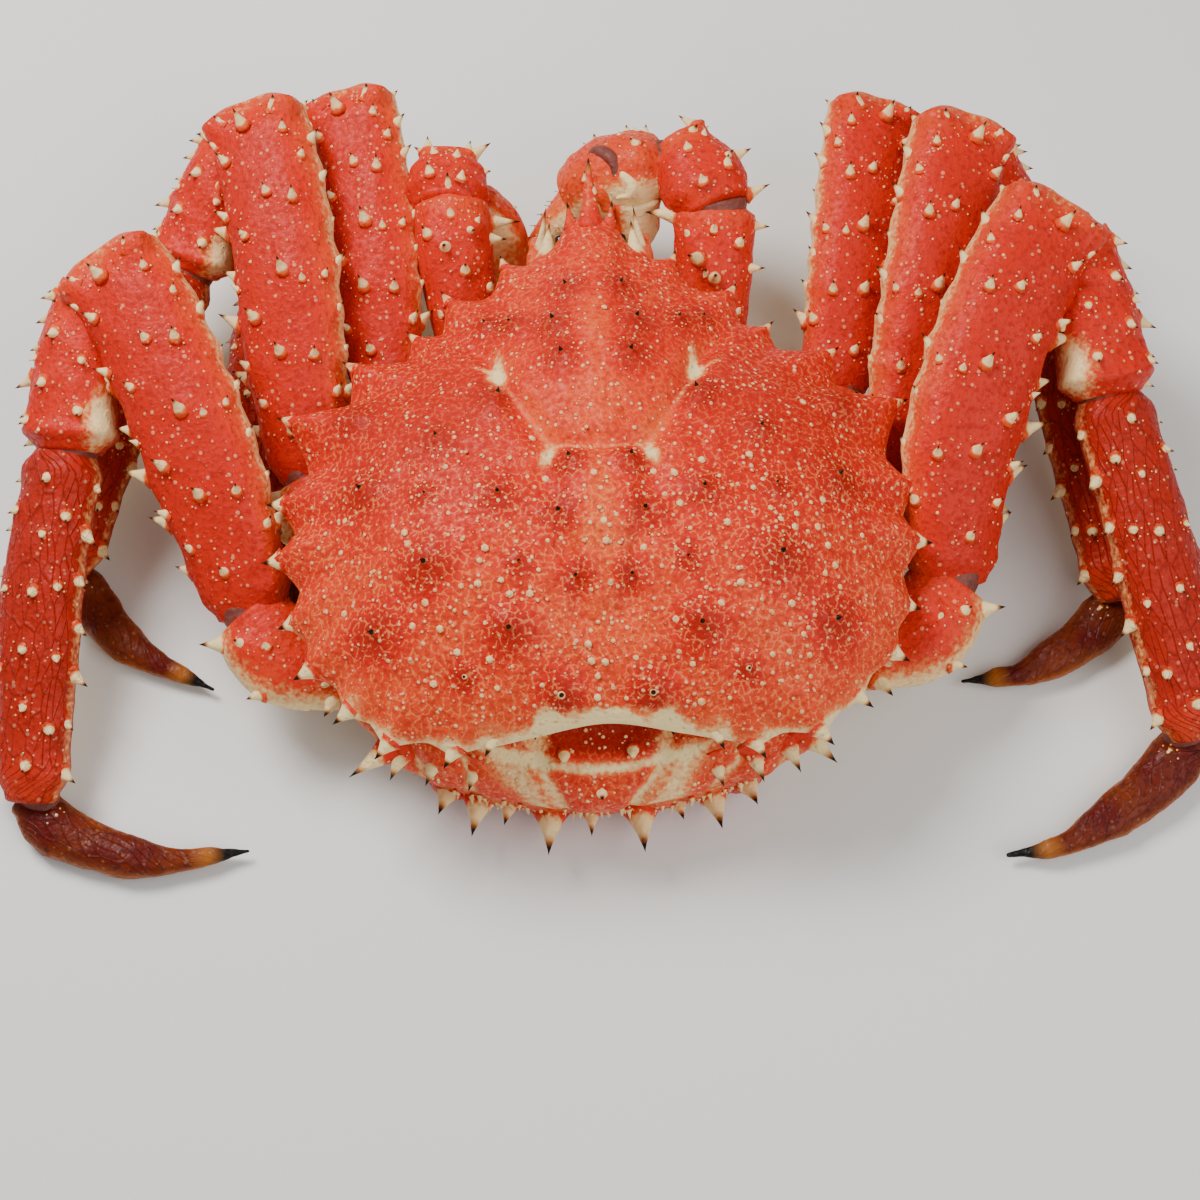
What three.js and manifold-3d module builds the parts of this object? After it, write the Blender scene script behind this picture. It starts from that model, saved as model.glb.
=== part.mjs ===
// A life-size red king crab at rest on its belly with its legs and claws folded in, in millimetres.
// +Z is up, +Y is towards the head and +X is the crab's right. The origin is on the floor, under the
// middle of the belly. Each length of shell that has a name of its own is one closed mesh.
import * as THREE from "three";
import { mergeVertices } from "three/addons/utils/BufferGeometryUtils.js";
import Module from "manifold-3d";

const wasm = await Module();
wasm.setup();

// Driving sizes
const SHELL_TOP = 83; // the top of the back, before its raised regions are added
const MARGIN_HEIGHT = 50; // the spiny edge of the back shell above the floor, at the sides
const SHELL_UNDERSIDE = 45.8;
const GAP = 0.3; // what touching pieces keep clear of one another

// Colours of the cooked shell
const shellRed = new THREE.MeshStandardMaterial({ color: 0xc8402a, roughness: 0.45, metalness: 0 });
const legRed = new THREE.MeshStandardMaterial({ color: 0xcf4a30, roughness: 0.4, metalness: 0 });
const creamShell = new THREE.MeshStandardMaterial({ color: 0xe4d3b2, roughness: 0.5, metalness: 0 });
const clawRed = new THREE.MeshStandardMaterial({ color: 0x9e2f1c, roughness: 0.45, metalness: 0 });
const eyeBlack = new THREE.MeshStandardMaterial({ color: 0x15100e, roughness: 0.2, metalness: 0 });

const crab = new THREE.Group();
const vec = (a) => new THREE.Vector3(...a);
const onSide = (side, [x, y, z]) => [x * side, y, z];
const rise = (from, to, x) => THREE.MathUtils.smoothstep(x, from, to);
const bell = (distance, width) => Math.exp(-((distance / width) ** 2));
const SIDES = { left: -1, right: 1 };

// A plain geometry whose faces share their corners, ready to be bent into shape.
function blank(geometry) {
  geometry.deleteAttribute("normal");
  geometry.deleteAttribute("uv");
  return mergeVertices(geometry);
}

// Moves every corner of a blank to where a function sends it, and closes it as a solid.
function shaped(geometry, place) {
  const blanked = blank(geometry);
  const at = blanked.getAttribute("position");
  for (let i = 0; i < at.count; i++) {
    const moved = place(new THREE.Vector3().fromBufferAttribute(at, i));
    at.setXYZ(i, moved.x, moved.y, moved.z);
  }
  const vertProperties = new Float32Array(at.array);
  const triVerts = new Uint32Array(blanked.index.array);
  return new wasm.Manifold(new wasm.Mesh({ numProp: 3, vertProperties, triVerts }));
}

// The largest closed surface of a solid. Loose scraps and sealed hollows are dropped.
function largest(solid) {
  return solid.decompose().reduce((a, b) => (b.volume() > a.volume() ? b : a));
}

function toMesh(name, solid, material) {
  const made = solid.getMesh();
  const geometry = new THREE.BufferGeometry();
  geometry.setAttribute("position", new THREE.BufferAttribute(new Float32Array(made.vertProperties), 3));
  geometry.setIndex(new THREE.BufferAttribute(new Uint32Array(made.triVerts), 1));
  const mesh = new THREE.Mesh(geometry, material);
  mesh.name = name;
  return mesh;
}

// Reads rows of [share of the length, half width, half depth] as smooth sizes anywhere between.
function sizesAlong(rows) {
  return (t) => {
    let i = 1;
    while (i < rows.length - 1 && rows[i][0] < t) i++;
    const share = rise(rows[i - 1][0], rows[i][0], t);
    return [1, 2].map((k) => THREE.MathUtils.lerp(rows[i - 1][k], rows[i][k], share));
  };
}

// One length of a limb: a flattened tube along a path, with its broad face turned "up". A place on it
// is a share of its length and an angle: 0 is the outer edge, 90 the upper face and 180 the inner edge.
function limb({ path, up = [0, 0, 1], side, sizes, square = 2.3, sides = 9, rings = 6 }) {
  const line = new THREE.CatmullRomCurve3(path.map(vec), false, "catmullrom", 0.5);
  const size = sizesAlong(sizes);
  const frame = (t) => {
    const along = line.getTangentAt(t);
    const broad = along.clone().cross(vec(up)).normalize();
    return { along, broad, thin: broad.clone().cross(along) };
  };
  const corner = (c) => Math.sign(c) * Math.abs(c) ** (2 / square);
  const at = (t, angle, extra = 0) => {
    const { broad, thin } = frame(t);
    const [width, depth] = size(t);
    return line
      .getPointAt(t)
      .addScaledVector(broad, side * corner(Math.cos(angle)) * (width + extra))
      .addScaledVector(thin, corner(Math.sin(angle)) * (depth + extra));
  };
  const outward = (t, angle) => {
    const { broad, thin } = frame(t);
    const [width, depth] = size(t);
    return broad
      .multiplyScalar((side * Math.cos(angle)) / width)
      .addScaledVector(thin, Math.sin(angle) / depth)
      .normalize();
  };
  const body = (extra = 0) =>
    shaped(new THREE.CylinderGeometry(1, 1, 1, sides, rings), (p) => {
      const t = THREE.MathUtils.clamp(p.y + 0.5, 0, 1);
      const endwards = (t > 0.999) - (t < 0.001);
      const middle = Math.hypot(p.x, p.z) < 0.5;
      const placed = middle ? line.getPointAt(t) : at(t, Math.atan2(p.z, p.x * side), extra);
      return placed.addScaledVector(frame(t).along, endwards * extra);
    });
  const nearestAxis = (p) =>
    line.getSpacedPoints(24).reduce((a, b) => (b.distanceTo(p) < a.distanceTo(p) ? b : a));
  return { body, at, outward, frame, nearestAxis };
}

// A tapered spine with its root sunk into what it grows from. A level one can be flatter than it is wide.
function spine(root, direction, length, radius, { sides = 5, flat = 1 } = {}) {
  const sunk = radius * flat;
  const turn = new THREE.Quaternion().setFromUnitVectors(new THREE.Vector3(0, 1, 0), direction);
  return shaped(new THREE.ConeGeometry(radius, length + sunk, sides), (p) =>
    p.set(p.x, p.y + (length - sunk) / 2, p.z * flat).applyQuaternion(turn).add(root),
  );
}

// Rows of spines along a limb: [angle, how many, length, radius, first place, last place].
// The sizes and places swing along a row, as the real ones do.
function spineRows(piece, rows) {
  const made = [];
  const LEAN = 0.25;
  for (const [angle, count, length, radius, first, last] of rows)
    for (let i = 0; i < count; i++) {
      const t = THREE.MathUtils.lerp(first, last, count > 1 ? i / (count - 1) : 0.5);
      const swing = 1 + 0.28 * Math.sin(i * 2.4 + angle);
      const turned = THREE.MathUtils.degToRad(angle + 5 * Math.sin(i * 1.7 + angle));
      const direction = piece.outward(t, turned).addScaledVector(piece.frame(t).along, LEAN).normalize();
      made.push(spine(piece.at(t, turned), direction, length * swing, radius * (0.5 + swing / 2)));
    }
  return made;
}

// Pieces are noted down first as bare bodies. They are cut to one another at the end.
const pieces = new Map();
function addPiece(name, material, solid, swollen, cutBy = [], spines = []) {
  pieces.set(name, { material, solid, swollen, cutBy, spines });
}

// The back shell: a plan outline of its edge, here from the head round the right side to the rear
const MARGIN_PLAN = [
  [0, 79], [6, 76.5], [11, 69], [17, 65], [31, 54.5], [44, 43.5], [58, 34], [73, 20.5], [80, 5],
  [82.5, -14], [81.5, -31], [78, -47], [71, -58], [63, -67], [52, -72], [35, -74], [20, -71], [0, -68],
];
const SHELL_CENTRE = new THREE.Vector3(0, -6, 0);
const mirrored = MARGIN_PLAN.slice(1, -1).reverse().map(([x, y]) => [-x, y]);
const planCorners = [...MARGIN_PLAN, ...mirrored].map(([x, y]) => new THREE.Vector3(x, y, 0));
const marginPoints = new THREE.CatmullRomCurve3(planCorners, true).getPoints(360).map((p) => {
  const away = p.sub(SHELL_CENTRE);
  return { turn: Math.atan2(away.y, away.x), reach: away.length() };
});

// How far the shell's edge lies from its centre in the direction of (x, y), seen from above.
function marginReach(x, y) {
  const turn = Math.atan2(y - SHELL_CENTRE.y, x - SHELL_CENTRE.x);
  const off = (a) => 1 - Math.cos(a.turn - turn);
  return marginPoints.reduce((a, b) => (off(b) < off(a) ? b : a)).reach;
}

function marginHeight(x, y) {
  const headEnd = 12 * rise(20, 78, y);
  const tailEnd = 6 * bell(x, 26) * (1 - rise(-70, -40, y));
  return MARGIN_HEIGHT + headEnd + tailEnd;
}

// The raised regions of the back: stomach, heart and a gill region on either side, with grooves between.
function regions(x, y) {
  const side = Math.abs(x);
  const stomach = 3.5 * bell(Math.hypot(x, y - 30), 22);
  const heart = 2.5 * bell(Math.hypot(x, (y + 20) * 0.8), 16);
  const gill = 4 * bell(Math.hypot(side - 44, y + 22), 24);
  const furrow = 2.5 * bell(side - 19 - 0.25 * Math.abs(y + 2), 4) * (1 - rise(20, 50, Math.abs(y)));
  const neck = 2.5 * bell(y + 2, 3.5) * bell(x, 16);
  return stomach + heart + gill - furrow - neck;
}

function shellHeight(x, y) {
  const share = Math.min(1, Math.hypot(x - SHELL_CENTRE.x, y - SHELL_CENTRE.y) / marginReach(x, y));
  const edge = marginHeight(x, y);
  const dome = (1 - share ** 2.3) ** 0.8;
  return edge + (SHELL_TOP - edge) * dome + regions(x, y) * (1 - rise(0.75, 1, share));
}

function shellNormal(x, y) {
  const STEP = 1.5;
  const dx = (shellHeight(x + STEP, y) - shellHeight(x - STEP, y)) / (2 * STEP);
  const dy = (shellHeight(x, y + STEP) - shellHeight(x, y - STEP)) / (2 * STEP);
  return new THREE.Vector3(-dx, -dy, 1).normalize();
}

// The shell is a sphere's net laid over the plan: its upper half is the dome, its lower half the underside.
function carapaceBody(swell = 0) {
  const RIM = 3;
  return shaped(new THREE.SphereGeometry(1, 40, 14), (p) => {
    const share = Math.min(1, Math.hypot(p.x, p.z));
    const turn = Math.atan2(-p.z, p.x);
    const reach = marginReach(SHELL_CENTRE.x + Math.cos(turn), SHELL_CENTRE.y + Math.sin(turn));
    const x = SHELL_CENTRE.x + Math.cos(turn) * (reach + swell) * share;
    const y = SHELL_CENTRE.y + Math.sin(turn) * (reach + swell) * share;
    if (Math.abs(p.y) < 1e-6) return new THREE.Vector3(x, y, marginHeight(x, y));
    if (p.y > 0) return new THREE.Vector3(x, y, shellHeight(x, y) + swell);
    const rim = marginHeight(x, y) - RIM * (1 - rise(0.97, 1, share));
    const under = THREE.MathUtils.lerp(SHELL_UNDERSIDE, rim, rise(0.84, 0.97, share));
    return new THREE.Vector3(x, y, under - swell);
  });
}

// Spines of the back on one side: x, y and height.
const BACK_SPINES = [
  [7, 49, 4.5], [11, 36, 5], [9, 24, 5], [23, 40, 3.5], [30, 43, 3], [8, -8, 4.5], [11, -22, 5], [7, -38, 4],
  [27, 14, 5], [43, 2, 4], [66, 16, 5.5], [27, -17, 4.5], [63, -9, 5.5], [46, -15, 3], [46, -34, 6],
  [22, -35, 3], [60, -48, 6], [25, -51, 5.5], [37, -61, 3], [12, -66, 5],
];
// Spines of the edge on one side: where the tip is, and the radius of the root.
const EDGE_SPINES = [
  [24, 69, 59, 4], [41, 59, 57, 5.6], [51, 48, 54, 5.2], [69, 39, 54, 7.4], [87, 22, 54, 8.4],
  [89.5, -4, 53, 6.8], [90.5, -21, 52, 6.8], [86, -40, 51, 6.4], [81, -54, 50, 6], [70, -66, 49, 5.6],
  [59, -76, 49, 5.4], [41, -79, 49, 4.8], [30, -77, 52, 4.4],
];
const EDGE_SPINE_FLAT = 0.6; // their thickness as a share of their width
// Small spines between them: a place near the edge, and how far each stands out.
const EDGE_SPINULES = [
  [78, 12, 2.6], [65, 30, 2.6], [84, -12, 2.4], [84, -30, 2.4], [80, -47, 2.2], [47, -75, 2.4],
];
// The long spike over the eyes, and the spines beside it on one side.
const ROSTRUM = { root: [0, 70, 63], tip: [0, 94, 69], radius: 5.6 };
const BROW_SPINES = [
  { root: [5, 74, 63], tip: [7.4, 81.5, 66], radius: 2.6 },
  { root: [12.6, 66, 59], tip: [11.6, 78, 59], radius: 4 },
];

// A spine given by its root and its tip.
function spineTo(root, tip, radius, form) {
  const line = tip.clone().sub(root);
  return spine(root, line.clone().normalize(), line.length(), radius, form);
}

// A point on the shell's edge, in the direction of (x, y) and a little way in.
function onMargin(x, y, inset, lift) {
  const away = new THREE.Vector3(x, y, 0).sub(SHELL_CENTRE).normalize();
  const point = SHELL_CENTRE.clone().addScaledVector(away, marginReach(x, y) - inset);
  return point.setZ(marginHeight(point.x, point.y) + lift);
}

function carapaceSpines(side) {
  const made = [];
  for (const [x, y, height] of BACK_SPINES) {
    const root = new THREE.Vector3(x * side, y, shellHeight(x * side, y) - 0.3);
    const lean = new THREE.Vector3(0.12 * side * rise(20, 70, x), 0.22, 0);
    made.push(spine(root, shellNormal(root.x, y).add(lean).normalize(), height, height * 0.42));
  }
  const LIFT = 0.4; // how far over the edge's own height they stand
  for (const [x, y, z, radius] of EDGE_SPINES) {
    const root = onMargin(x * side, y, radius * 0.7, LIFT);
    made.push(spineTo(root, new THREE.Vector3(x * side, y, z), radius, { flat: EDGE_SPINE_FLAT }));
  }
  for (const [x, y, out] of EDGE_SPINULES) {
    const root = onMargin(x * side, y, 1.4, LIFT);
    made.push(spineTo(root, onMargin(x * side, y, -out, LIFT), 1.6, { sides: 4 }));
  }
  for (const { root, tip, radius } of BROW_SPINES)
    made.push(spineTo(vec(onSide(side, root)), vec(onSide(side, tip)), radius));
  return made;
}
const rostrum = spineTo(vec(ROSTRUM.root), vec(ROSTRUM.tip), ROSTRUM.radius, { sides: 8 });
const shellSpines = [rostrum, ...carapaceSpines(-1), ...carapaceSpines(1)];
addPiece("carapace", shellRed, carapaceBody(), carapaceBody(GAP), [], shellSpines);

// Half the width and half the depth of each length of a leg, from its root to its end
const COXA_SIZES = [[0, 8, 8], [0.5, 11, 10], [1, 11, 9.5]];
const ISCHIUM_SIZES = [[0, 10, 9], [0.3, 12.5, 10], [0.75, 13.5, 10.5], [1, 10.5, 9]];
const MERUS_SIZES = [
  [0, 10, 7.5], [0.06, 13, 9], [0.4, 15, 10], [0.85, 15, 10.5], [0.96, 13.5, 10], [1, 9, 7],
];
const CARPUS_SIZES = [[0, 7, 6.5], [0.15, 10.5, 9], [0.5, 11.5, 9.4], [0.9, 12.6, 10], [1, 9.5, 7.6]];
const PROPODUS_SIZES = [[0, 8, 7], [0.08, 10.6, 8.6], [0.5, 11.8, 9], [0.9, 10.4, 8.2], [1, 7, 6]];
const DACTYL_SIZES = [[0, 6, 4], [0.15, 7.8, 5.2], [0.45, 6.4, 5], [0.8, 3, 2.6], [1, 0.6, 0.6]];
// Rows of spines: the angle, how many, length, radius, first place and last place
const ISCHIUM_SPINES = [[25, 2, 5.5, 3, 0.4, 0.9], [75, 2, 2.4, 1.8, 0.4, 0.8]];
const MERUS_SPINES = [
  [4, 6, 4.4, 2.2, 0.16, 0.95], [50, 3, 2.8, 1.9, 0.22, 0.84], [92, 4, 3, 1.9, 0.14, 0.92],
  [135, 2, 2.6, 1.8, 0.35, 0.8], [176, 5, 4.2, 2.4, 0.3, 0.95],
];
const CARPUS_SPINES = [
  [176, 3, 4.6, 2.4, 0.3, 0.88], [110, 2, 2.8, 2, 0.35, 0.85], [35, 1, 3, 2.4, 0.8, 0.9],
];
const PROPODUS_SPINES = [
  [5, 5, 3.6, 2, 0.14, 0.9], [82, 4, 2.4, 1.8, 0.14, 0.88], [176, 5, 2.8, 2, 0.14, 0.9],
];
const DACTYL_SPINES = [[80, 1, 1.8, 2, 0.14, 0.18]];

// Where each leg goes: the hip on the thorax, then the paths of the merus, carpus, propodus and dactyl.
// The rear legs lie over the middle legs, and those over the front legs.
const LEGS = {
  leg_rear_left: {
    size: 1,
    ischium: [[-62, -39, 24], [-86, -41, 28], [-98, -28, 33]],
    merus: [[-97, -27, 33], [-110, 12, 53], [-124, 46, 62], [-136, 68, 65]],
    carpus: [[-138, 66, 59], [-145, 44, 53], [-148, 19, 44]],
    propodus: [[-149, 20, 43], [-157, -21, 30], [-161, -73, 11]],
    dactyl: [[-163, -71, 7], [-152, -82, 5], [-127, -90, 4.6], [-102, -88, 4]],
  },
  leg_rear_right: {
    size: 1.04,
    ischium: [[62, -39, 24], [86, -39, 28], [97, -25, 33]],
    merus: [[97, -24, 33], [100, 6, 51], [112, 39, 62], [131, 75, 66]],
    carpus: [[135, 74, 60], [141, 51, 54], [145, 26, 45]],
    propodus: [[145, 27, 44], [156, -19, 31], [166, -65, 11]],
    dactyl: [[167, -63, 7], [153, -78, 5], [129, -93, 4.6], [112, -96, 4]],
  },
  leg_mid_left: {
    size: 0.95,
    ischium: [[-58, -8, 24], [-74, -3, 27], [-81, 13, 31]],
    merus: [[-81, 14, 31], [-85, 43, 42], [-88, 76, 53], [-96, 120, 58]],
    carpus: [[-99, 117, 53], [-109, 100, 45], [-118, 81, 35]],
    propodus: [[-119, 82, 34], [-142, 38, 21], [-155, -3, 10]],
    dactyl: [[-157, -1, 7], [-149, -11, 5], [-135, -27, 4.6], [-113, -39, 4]],
  },
  leg_mid_right: {
    size: 0.95,
    ischium: [[58, -10, 24], [73, -7, 26], [84, 4, 30]],
    merus: [[85, 5, 30], [93, 37, 42], [100, 69, 53], [109, 109, 58]],
    carpus: [[111, 106, 52], [121, 90, 44], [132, 69, 32]],
    propodus: [[132, 70, 31], [143, 22, 20], [150, -22, 10]],
    dactyl: [[151, -20, 7], [141, -31, 5], [122, -42, 4.6], [104, -44, 4]],
  },
  leg_front_left: {
    size: 0.86,
    ischium: [[-49, 20, 24], [-58, 27, 26], [-60, 41, 30]],
    merus: [[-60, 42, 30], [-64, 82, 42], [-69.5, 130, 48]],
    carpus: [[-72, 128, 43], [-81, 115, 36], [-89, 97, 26]],
    propodus: [[-90, 97, 25], [-99, 57, 16], [-101, 10, 9]],
    dactyl: [[-102, 12, 6], [-97, 0, 4.4], [-87, -16, 4], [-74, -25, 3.6]],
  },
  leg_front_right: {
    size: 0.86,
    ischium: [[51, 17, 24], [65, 24, 26], [70, 37, 30]],
    merus: [[70, 38, 30], [78, 77, 42], [85, 122, 48]],
    carpus: [[87, 118, 43], [96, 105, 36], [103, 88, 26]],
    propodus: [[103, 88, 25], [109, 48, 16], [109, 2, 9]],
    dactyl: [[110, 4, 6], [105, -8, 4.4], [95, -24, 4], [82, -33, 3.6]],
  },
};

function scaled(sizes, by) {
  return sizes.map(([t, width, depth]) => [t, width * by, depth * by]);
}
const coxae = [];
function coxa(hip, side, size) {
  const inner = [hip[0] * 0.5, hip[1] * 0.7, 22];
  coxae.push(limb({ path: [inner, hip], side, sizes: scaled(COXA_SIZES, size), sides: 8, rings: 3 }));
}

// Adds one length of a limb, cut by what it meets.
function addLength(name, part, material, piece, cutBy, spines) {
  const ofTrunk = (other) => other === "thorax" || other === "carapace";
  const meets = cutBy.map((other) => (ofTrunk(other) ? other : `${name}_${other}`));
  addPiece(`${name}_${part}`, material, piece.body(), piece.body(GAP), meets, spines);
}

for (const [name, leg] of Object.entries(LEGS)) {
  const side = name.endsWith("left") ? -1 : 1;
  const up = [0.3 * side, -0.2, 1]; // the broad faces of a folded leg lean outwards
  const { size } = leg;
  coxa(leg.ischium[0], side, size);
  const ischium = limb({ path: leg.ischium, side, sizes: scaled(ISCHIUM_SIZES, size), rings: 4 });
  const merus = limb({ path: leg.merus, side, up, sizes: scaled(MERUS_SIZES, size), square: 2.6 });
  const carpus = limb({ path: leg.carpus, side, up, sizes: scaled(CARPUS_SIZES, size), rings: 5 });
  const propodus = limb({ path: leg.propodus, side, up, sizes: scaled(PROPODUS_SIZES, size) });
  const dactyl = limb({ path: leg.dactyl, side, sizes: scaled(DACTYL_SIZES, size), sides: 8, rings: 7 });
  addLength(name, "ischium", legRed, ischium, ["thorax", "carapace"], spineRows(ischium, ISCHIUM_SPINES));
  addLength(name, "merus", legRed, merus, ["ischium", "carapace", "thorax"], spineRows(merus, MERUS_SPINES));
  addLength(name, "carpus", legRed, carpus, ["merus"], spineRows(carpus, CARPUS_SPINES));
  addLength(name, "propodus", legRed, propodus, ["carpus"], spineRows(propodus, PROPODUS_SPINES));
  addLength(name, "dactyl", clawRed, dactyl, ["propodus"], spineRows(dactyl, DACTYL_SPINES));
}

// The claw arms are shorter and stouter than the legs, and the right one is the larger.
const ARM_ISCHIUM_SIZES = [[0, 8, 7.5], [0.4, 9.5, 9], [1, 8, 8]];
const ARM_MERUS_SIZES = [[0, 8, 8], [0.15, 10.5, 9.5], [0.7, 11.5, 10.5], [0.93, 11, 10], [1, 8, 7.5]];
const ARM_CARPUS_SIZES = [[0, 10, 9], [0.25, 13, 11], [0.6, 11.8, 10.5], [1, 7.5, 7.5]];
const PALM_SIZES = [[0, 7, 7], [0.2, 12, 10.5], [0.6, 14, 11.5], [0.9, 12.5, 10.5], [1, 9.5, 8.5]];
const FINGER_SIZES = [[0, 5.4, 5.4], [0.3, 5.8, 5.4], [0.7, 4.2, 4], [1, 1.4, 1.4]];
// The spines of each length of an arm: where the tip is, the length and the radius of the root
const ARMS = {
  arm_left: {
    size: 0.97, palmSize: 0.84, palmUp: [0, 0.8, -0.6], spread: [5, 1, 0], hip: [-30, 34, 25],
    merus: [[-35, 52, 29], [-39.5, 78, 42], [-40.5, 95, 48]],
    carpus: [[-41.5, 91, 48], [-41, 108, 46]],
    palm: [[-38, 97, 42], [-31, 93, 31], [-28, 83, 22]],
    finger: [[-28.5, 88, 25], [-28, 77, 13], [-24, 68, 8]],
    merusSpines: [
      [-20, 88, 45, 8, 3], [-24, 81, 47, 5, 2.6], [-40.5, 96, 60.5, 4, 2.4], [-42, 74, 57, 4, 2.4],
      [-33, 79, 56, 3, 2],
    ],
    carpusSpines: [
      [-50.7, 110, 52, 5, 2.4], [-46.7, 115, 50, 6, 2.8], [-34, 113, 50, 5, 2.6], [-28, 112, 50, 7, 3],
      [-28, 101.6, 51, 4, 2.2],
    ],
    palmSpines: [[-21, 98, 37, 4, 2.2], [-17, 91, 27, 3, 2]],
  },
  arm_right: {
    size: 1, palmSize: 1, palmUp: [0, 1, 1], spread: [-1.5, -4, 3], hip: [31, 33, 25],
    merus: [[34, 50, 29], [36, 78, 43], [37, 89, 50]],
    carpus: [[37, 87, 50], [27, 109, 51]],
    palm: [[23, 101, 48], [10, 103.5, 45], [-2, 103, 33]],
    finger: [[1, 103, 36], [-11, 99, 21], [-19, 90, 11]],
    merusSpines: [
      [16, 87, 50, 11, 4], [52.5, 82, 48, 5, 2.6], [50.5, 69, 47, 5, 2.4], [27, 66, 61, 4, 2.6],
      [35, 60, 60, 3.4, 2.4],
    ],
    carpusSpines: [
      [27, 117, 54, 6, 2.8], [32, 108.5, 62, 6, 2.8], [36, 113, 54, 5, 2.4], [42, 99.7, 62, 5, 2.6],
      [48, 105, 54, 6, 3], [53, 94, 52, 5, 2.6],
    ],
    palmSpines: [
      [17.7, 117, 50, 4.4, 2.4], [11.8, 117, 50, 4.4, 2.4],
      [2.2, 115.5, 48, 4.4, 2.6], [9.5, 111, 56, 3, 2.2],
    ],
  },
};
// Spines that point straight away from the middle of the limb.
function spinesTo(piece, rows) {
  return rows.map(([x, y, z, length, radius]) => {
    const tip = new THREE.Vector3(x, y, z);
    const direction = tip.clone().sub(piece.nearestAxis(tip)).normalize();
    return spine(tip.clone().addScaledVector(direction, -length), direction, length, radius);
  });
}

for (const [name, arm] of Object.entries(ARMS)) {
  const side = name.endsWith("left") ? -1 : 1;
  const { size, hip } = arm;
  coxa(hip, side, 0.85);
  const sides = 8;
  const rings = 5;
  const ischium = limb({ path: [hip, arm.merus[0]], side, sizes: ARM_ISCHIUM_SIZES, sides, rings: 3 });
  const merus = limb({ path: arm.merus, side, sizes: scaled(ARM_MERUS_SIZES, size), rings });
  const carpusSizes = scaled(ARM_CARPUS_SIZES, size);
  const carpus = limb({ path: arm.carpus, side, up: [0, 0.5, 1], sizes: carpusSizes, rings });
  const palm = limb({ path: arm.palm, side, up: arm.palmUp, sizes: scaled(PALM_SIZES, arm.palmSize), rings });
  // The fingers stand side by side at the knuckle and meet at their tips.
  const apart = (sign, shares) =>
    arm.finger.map((p, i) => vec(p).addScaledVector(vec(arm.spread), sign * shares[i]).toArray());
  const fingerSizes = scaled(FINGER_SIZES, arm.palmSize);
  const fixed = limb({ path: apart(-1, [1, 1.1, 0.4]), side, sizes: fingerSizes, sides, rings });
  const mover = limb({ path: apart(1, [1, 1.1, 0.4]), side, sizes: fingerSizes, sides, rings });
  addLength(name, "ischium", legRed, ischium, ["thorax", "carapace"], []);
  const merusSpines = spinesTo(merus, arm.merusSpines);
  addLength(name, "merus", legRed, merus, ["ischium", "carapace", "thorax"], merusSpines);
  addLength(name, "carpus", legRed, carpus, ["merus"], spinesTo(carpus, arm.carpusSpines));
  const palmSolid = palm.body().add(fixed.body());
  const palmSwollen = palm.body(GAP).add(fixed.body(GAP));
  const palmMeets = [`${name}_carpus`, `${name}_merus`];
  addPiece(`${name}_palm`, legRed, palmSolid, palmSwollen, palmMeets, spinesTo(palm, arm.palmSpines));
  addPiece(`${name}_finger`, creamShell, mover.body(), mover.body(GAP), [`${name}_palm`]);
}

// The thorax: a bowl under the back shell, with the face in front, that carries the hips of all the limbs
const THORAX = { halfLength: 62, halfWidth: 60, centreY: -1, floor: 8.3 };
const FACE = {
  path: [[0, 40, 30], [0, 58, 40], [0, 68, 45]],
  sizes: [[0, 20, 12], [0.6, 20, 11], [1, 15, 7]],
};
function thoraxBowl(extra = 0) {
  return shaped(new THREE.SphereGeometry(1, 18, 8), (p) => {
    const turn = Math.atan2(-p.z, p.x);
    const flat = Math.hypot(p.x, p.z);
    const level = (1 - p.y) / 2; // 0 at the top and 1 at the bottom
    const wide = level < 0.5 ? Math.min(1, flat * 1.6) : flat ** 0.8;
    const top = SHELL_UNDERSIDE - GAP;
    return new THREE.Vector3(
      Math.cos(turn) * wide * (THORAX.halfWidth + extra),
      THORAX.centreY + Math.sin(turn) * wide * (THORAX.halfLength + extra),
      THREE.MathUtils.lerp(top + extra, THORAX.floor - extra, rise(0.12, 0.92, level)),
    );
  });
}
const face = limb({ path: FACE.path, side: 1, sizes: FACE.sizes, sides: 10, rings: 3 });
function thoraxParts(extra) {
  return [face, ...coxae].reduce((all, part) => all.add(part.body(extra)), thoraxBowl(extra));
}
addPiece("thorax", creamShell, thoraxParts(0), thoraxParts(GAP), ["carapace"]);

// The abdomen: a broad spiny plate behind the back shell, and a flap folded flat under the thorax.
// A place on it is u from one side (-1) to the other (1) and v from its root (0) to its end (1).
function slab({ path, centreX, widths, thickness, across, along, curl }) {
  const line = new THREE.CatmullRomCurve3(path.map(([y, z]) => new THREE.Vector3(centreX, y, z)));
  const half = sizesAlong(widths);
  const at = (u, v, depth) => {
    const tangent = line.getTangentAt(THREE.MathUtils.clamp(v, 0, 1));
    const outer = new THREE.Vector3(0, tangent.z, -tangent.y);
    const bent = new THREE.Vector3(u * half(v)[0], curl(v) * u * u, 0);
    return line.getPointAt(THREE.MathUtils.clamp(v, 0, 1)).addScaledVector(outer, depth).add(bent);
  };
  const body = (extra = 0) =>
    shaped(new THREE.BoxGeometry(2, 1, 1, across, along, 1), (p) => {
      const edge = 1 - 0.45 * rise(0.8, 1, Math.abs(p.x));
      return at(p.x, p.y + 0.5, -p.z * (thickness * edge + 2 * extra));
    });
  return { at, body, half };
}
const TAIL_X = -2; // the abdomen sits a little to the left, as folded
const PLATE = {
  path: [[-60, 44.5], [-72, 41], [-80, 31], [-81, 22]],
  widths: [[0, 63, 0], [0.35, 67, 0], [0.7, 58, 0], [1, 47, 0]],
  centreX: TAIL_X, thickness: 8, across: 14, along: 4, curl: (v) => 15 * (1 - 0.4 * v),
};
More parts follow.
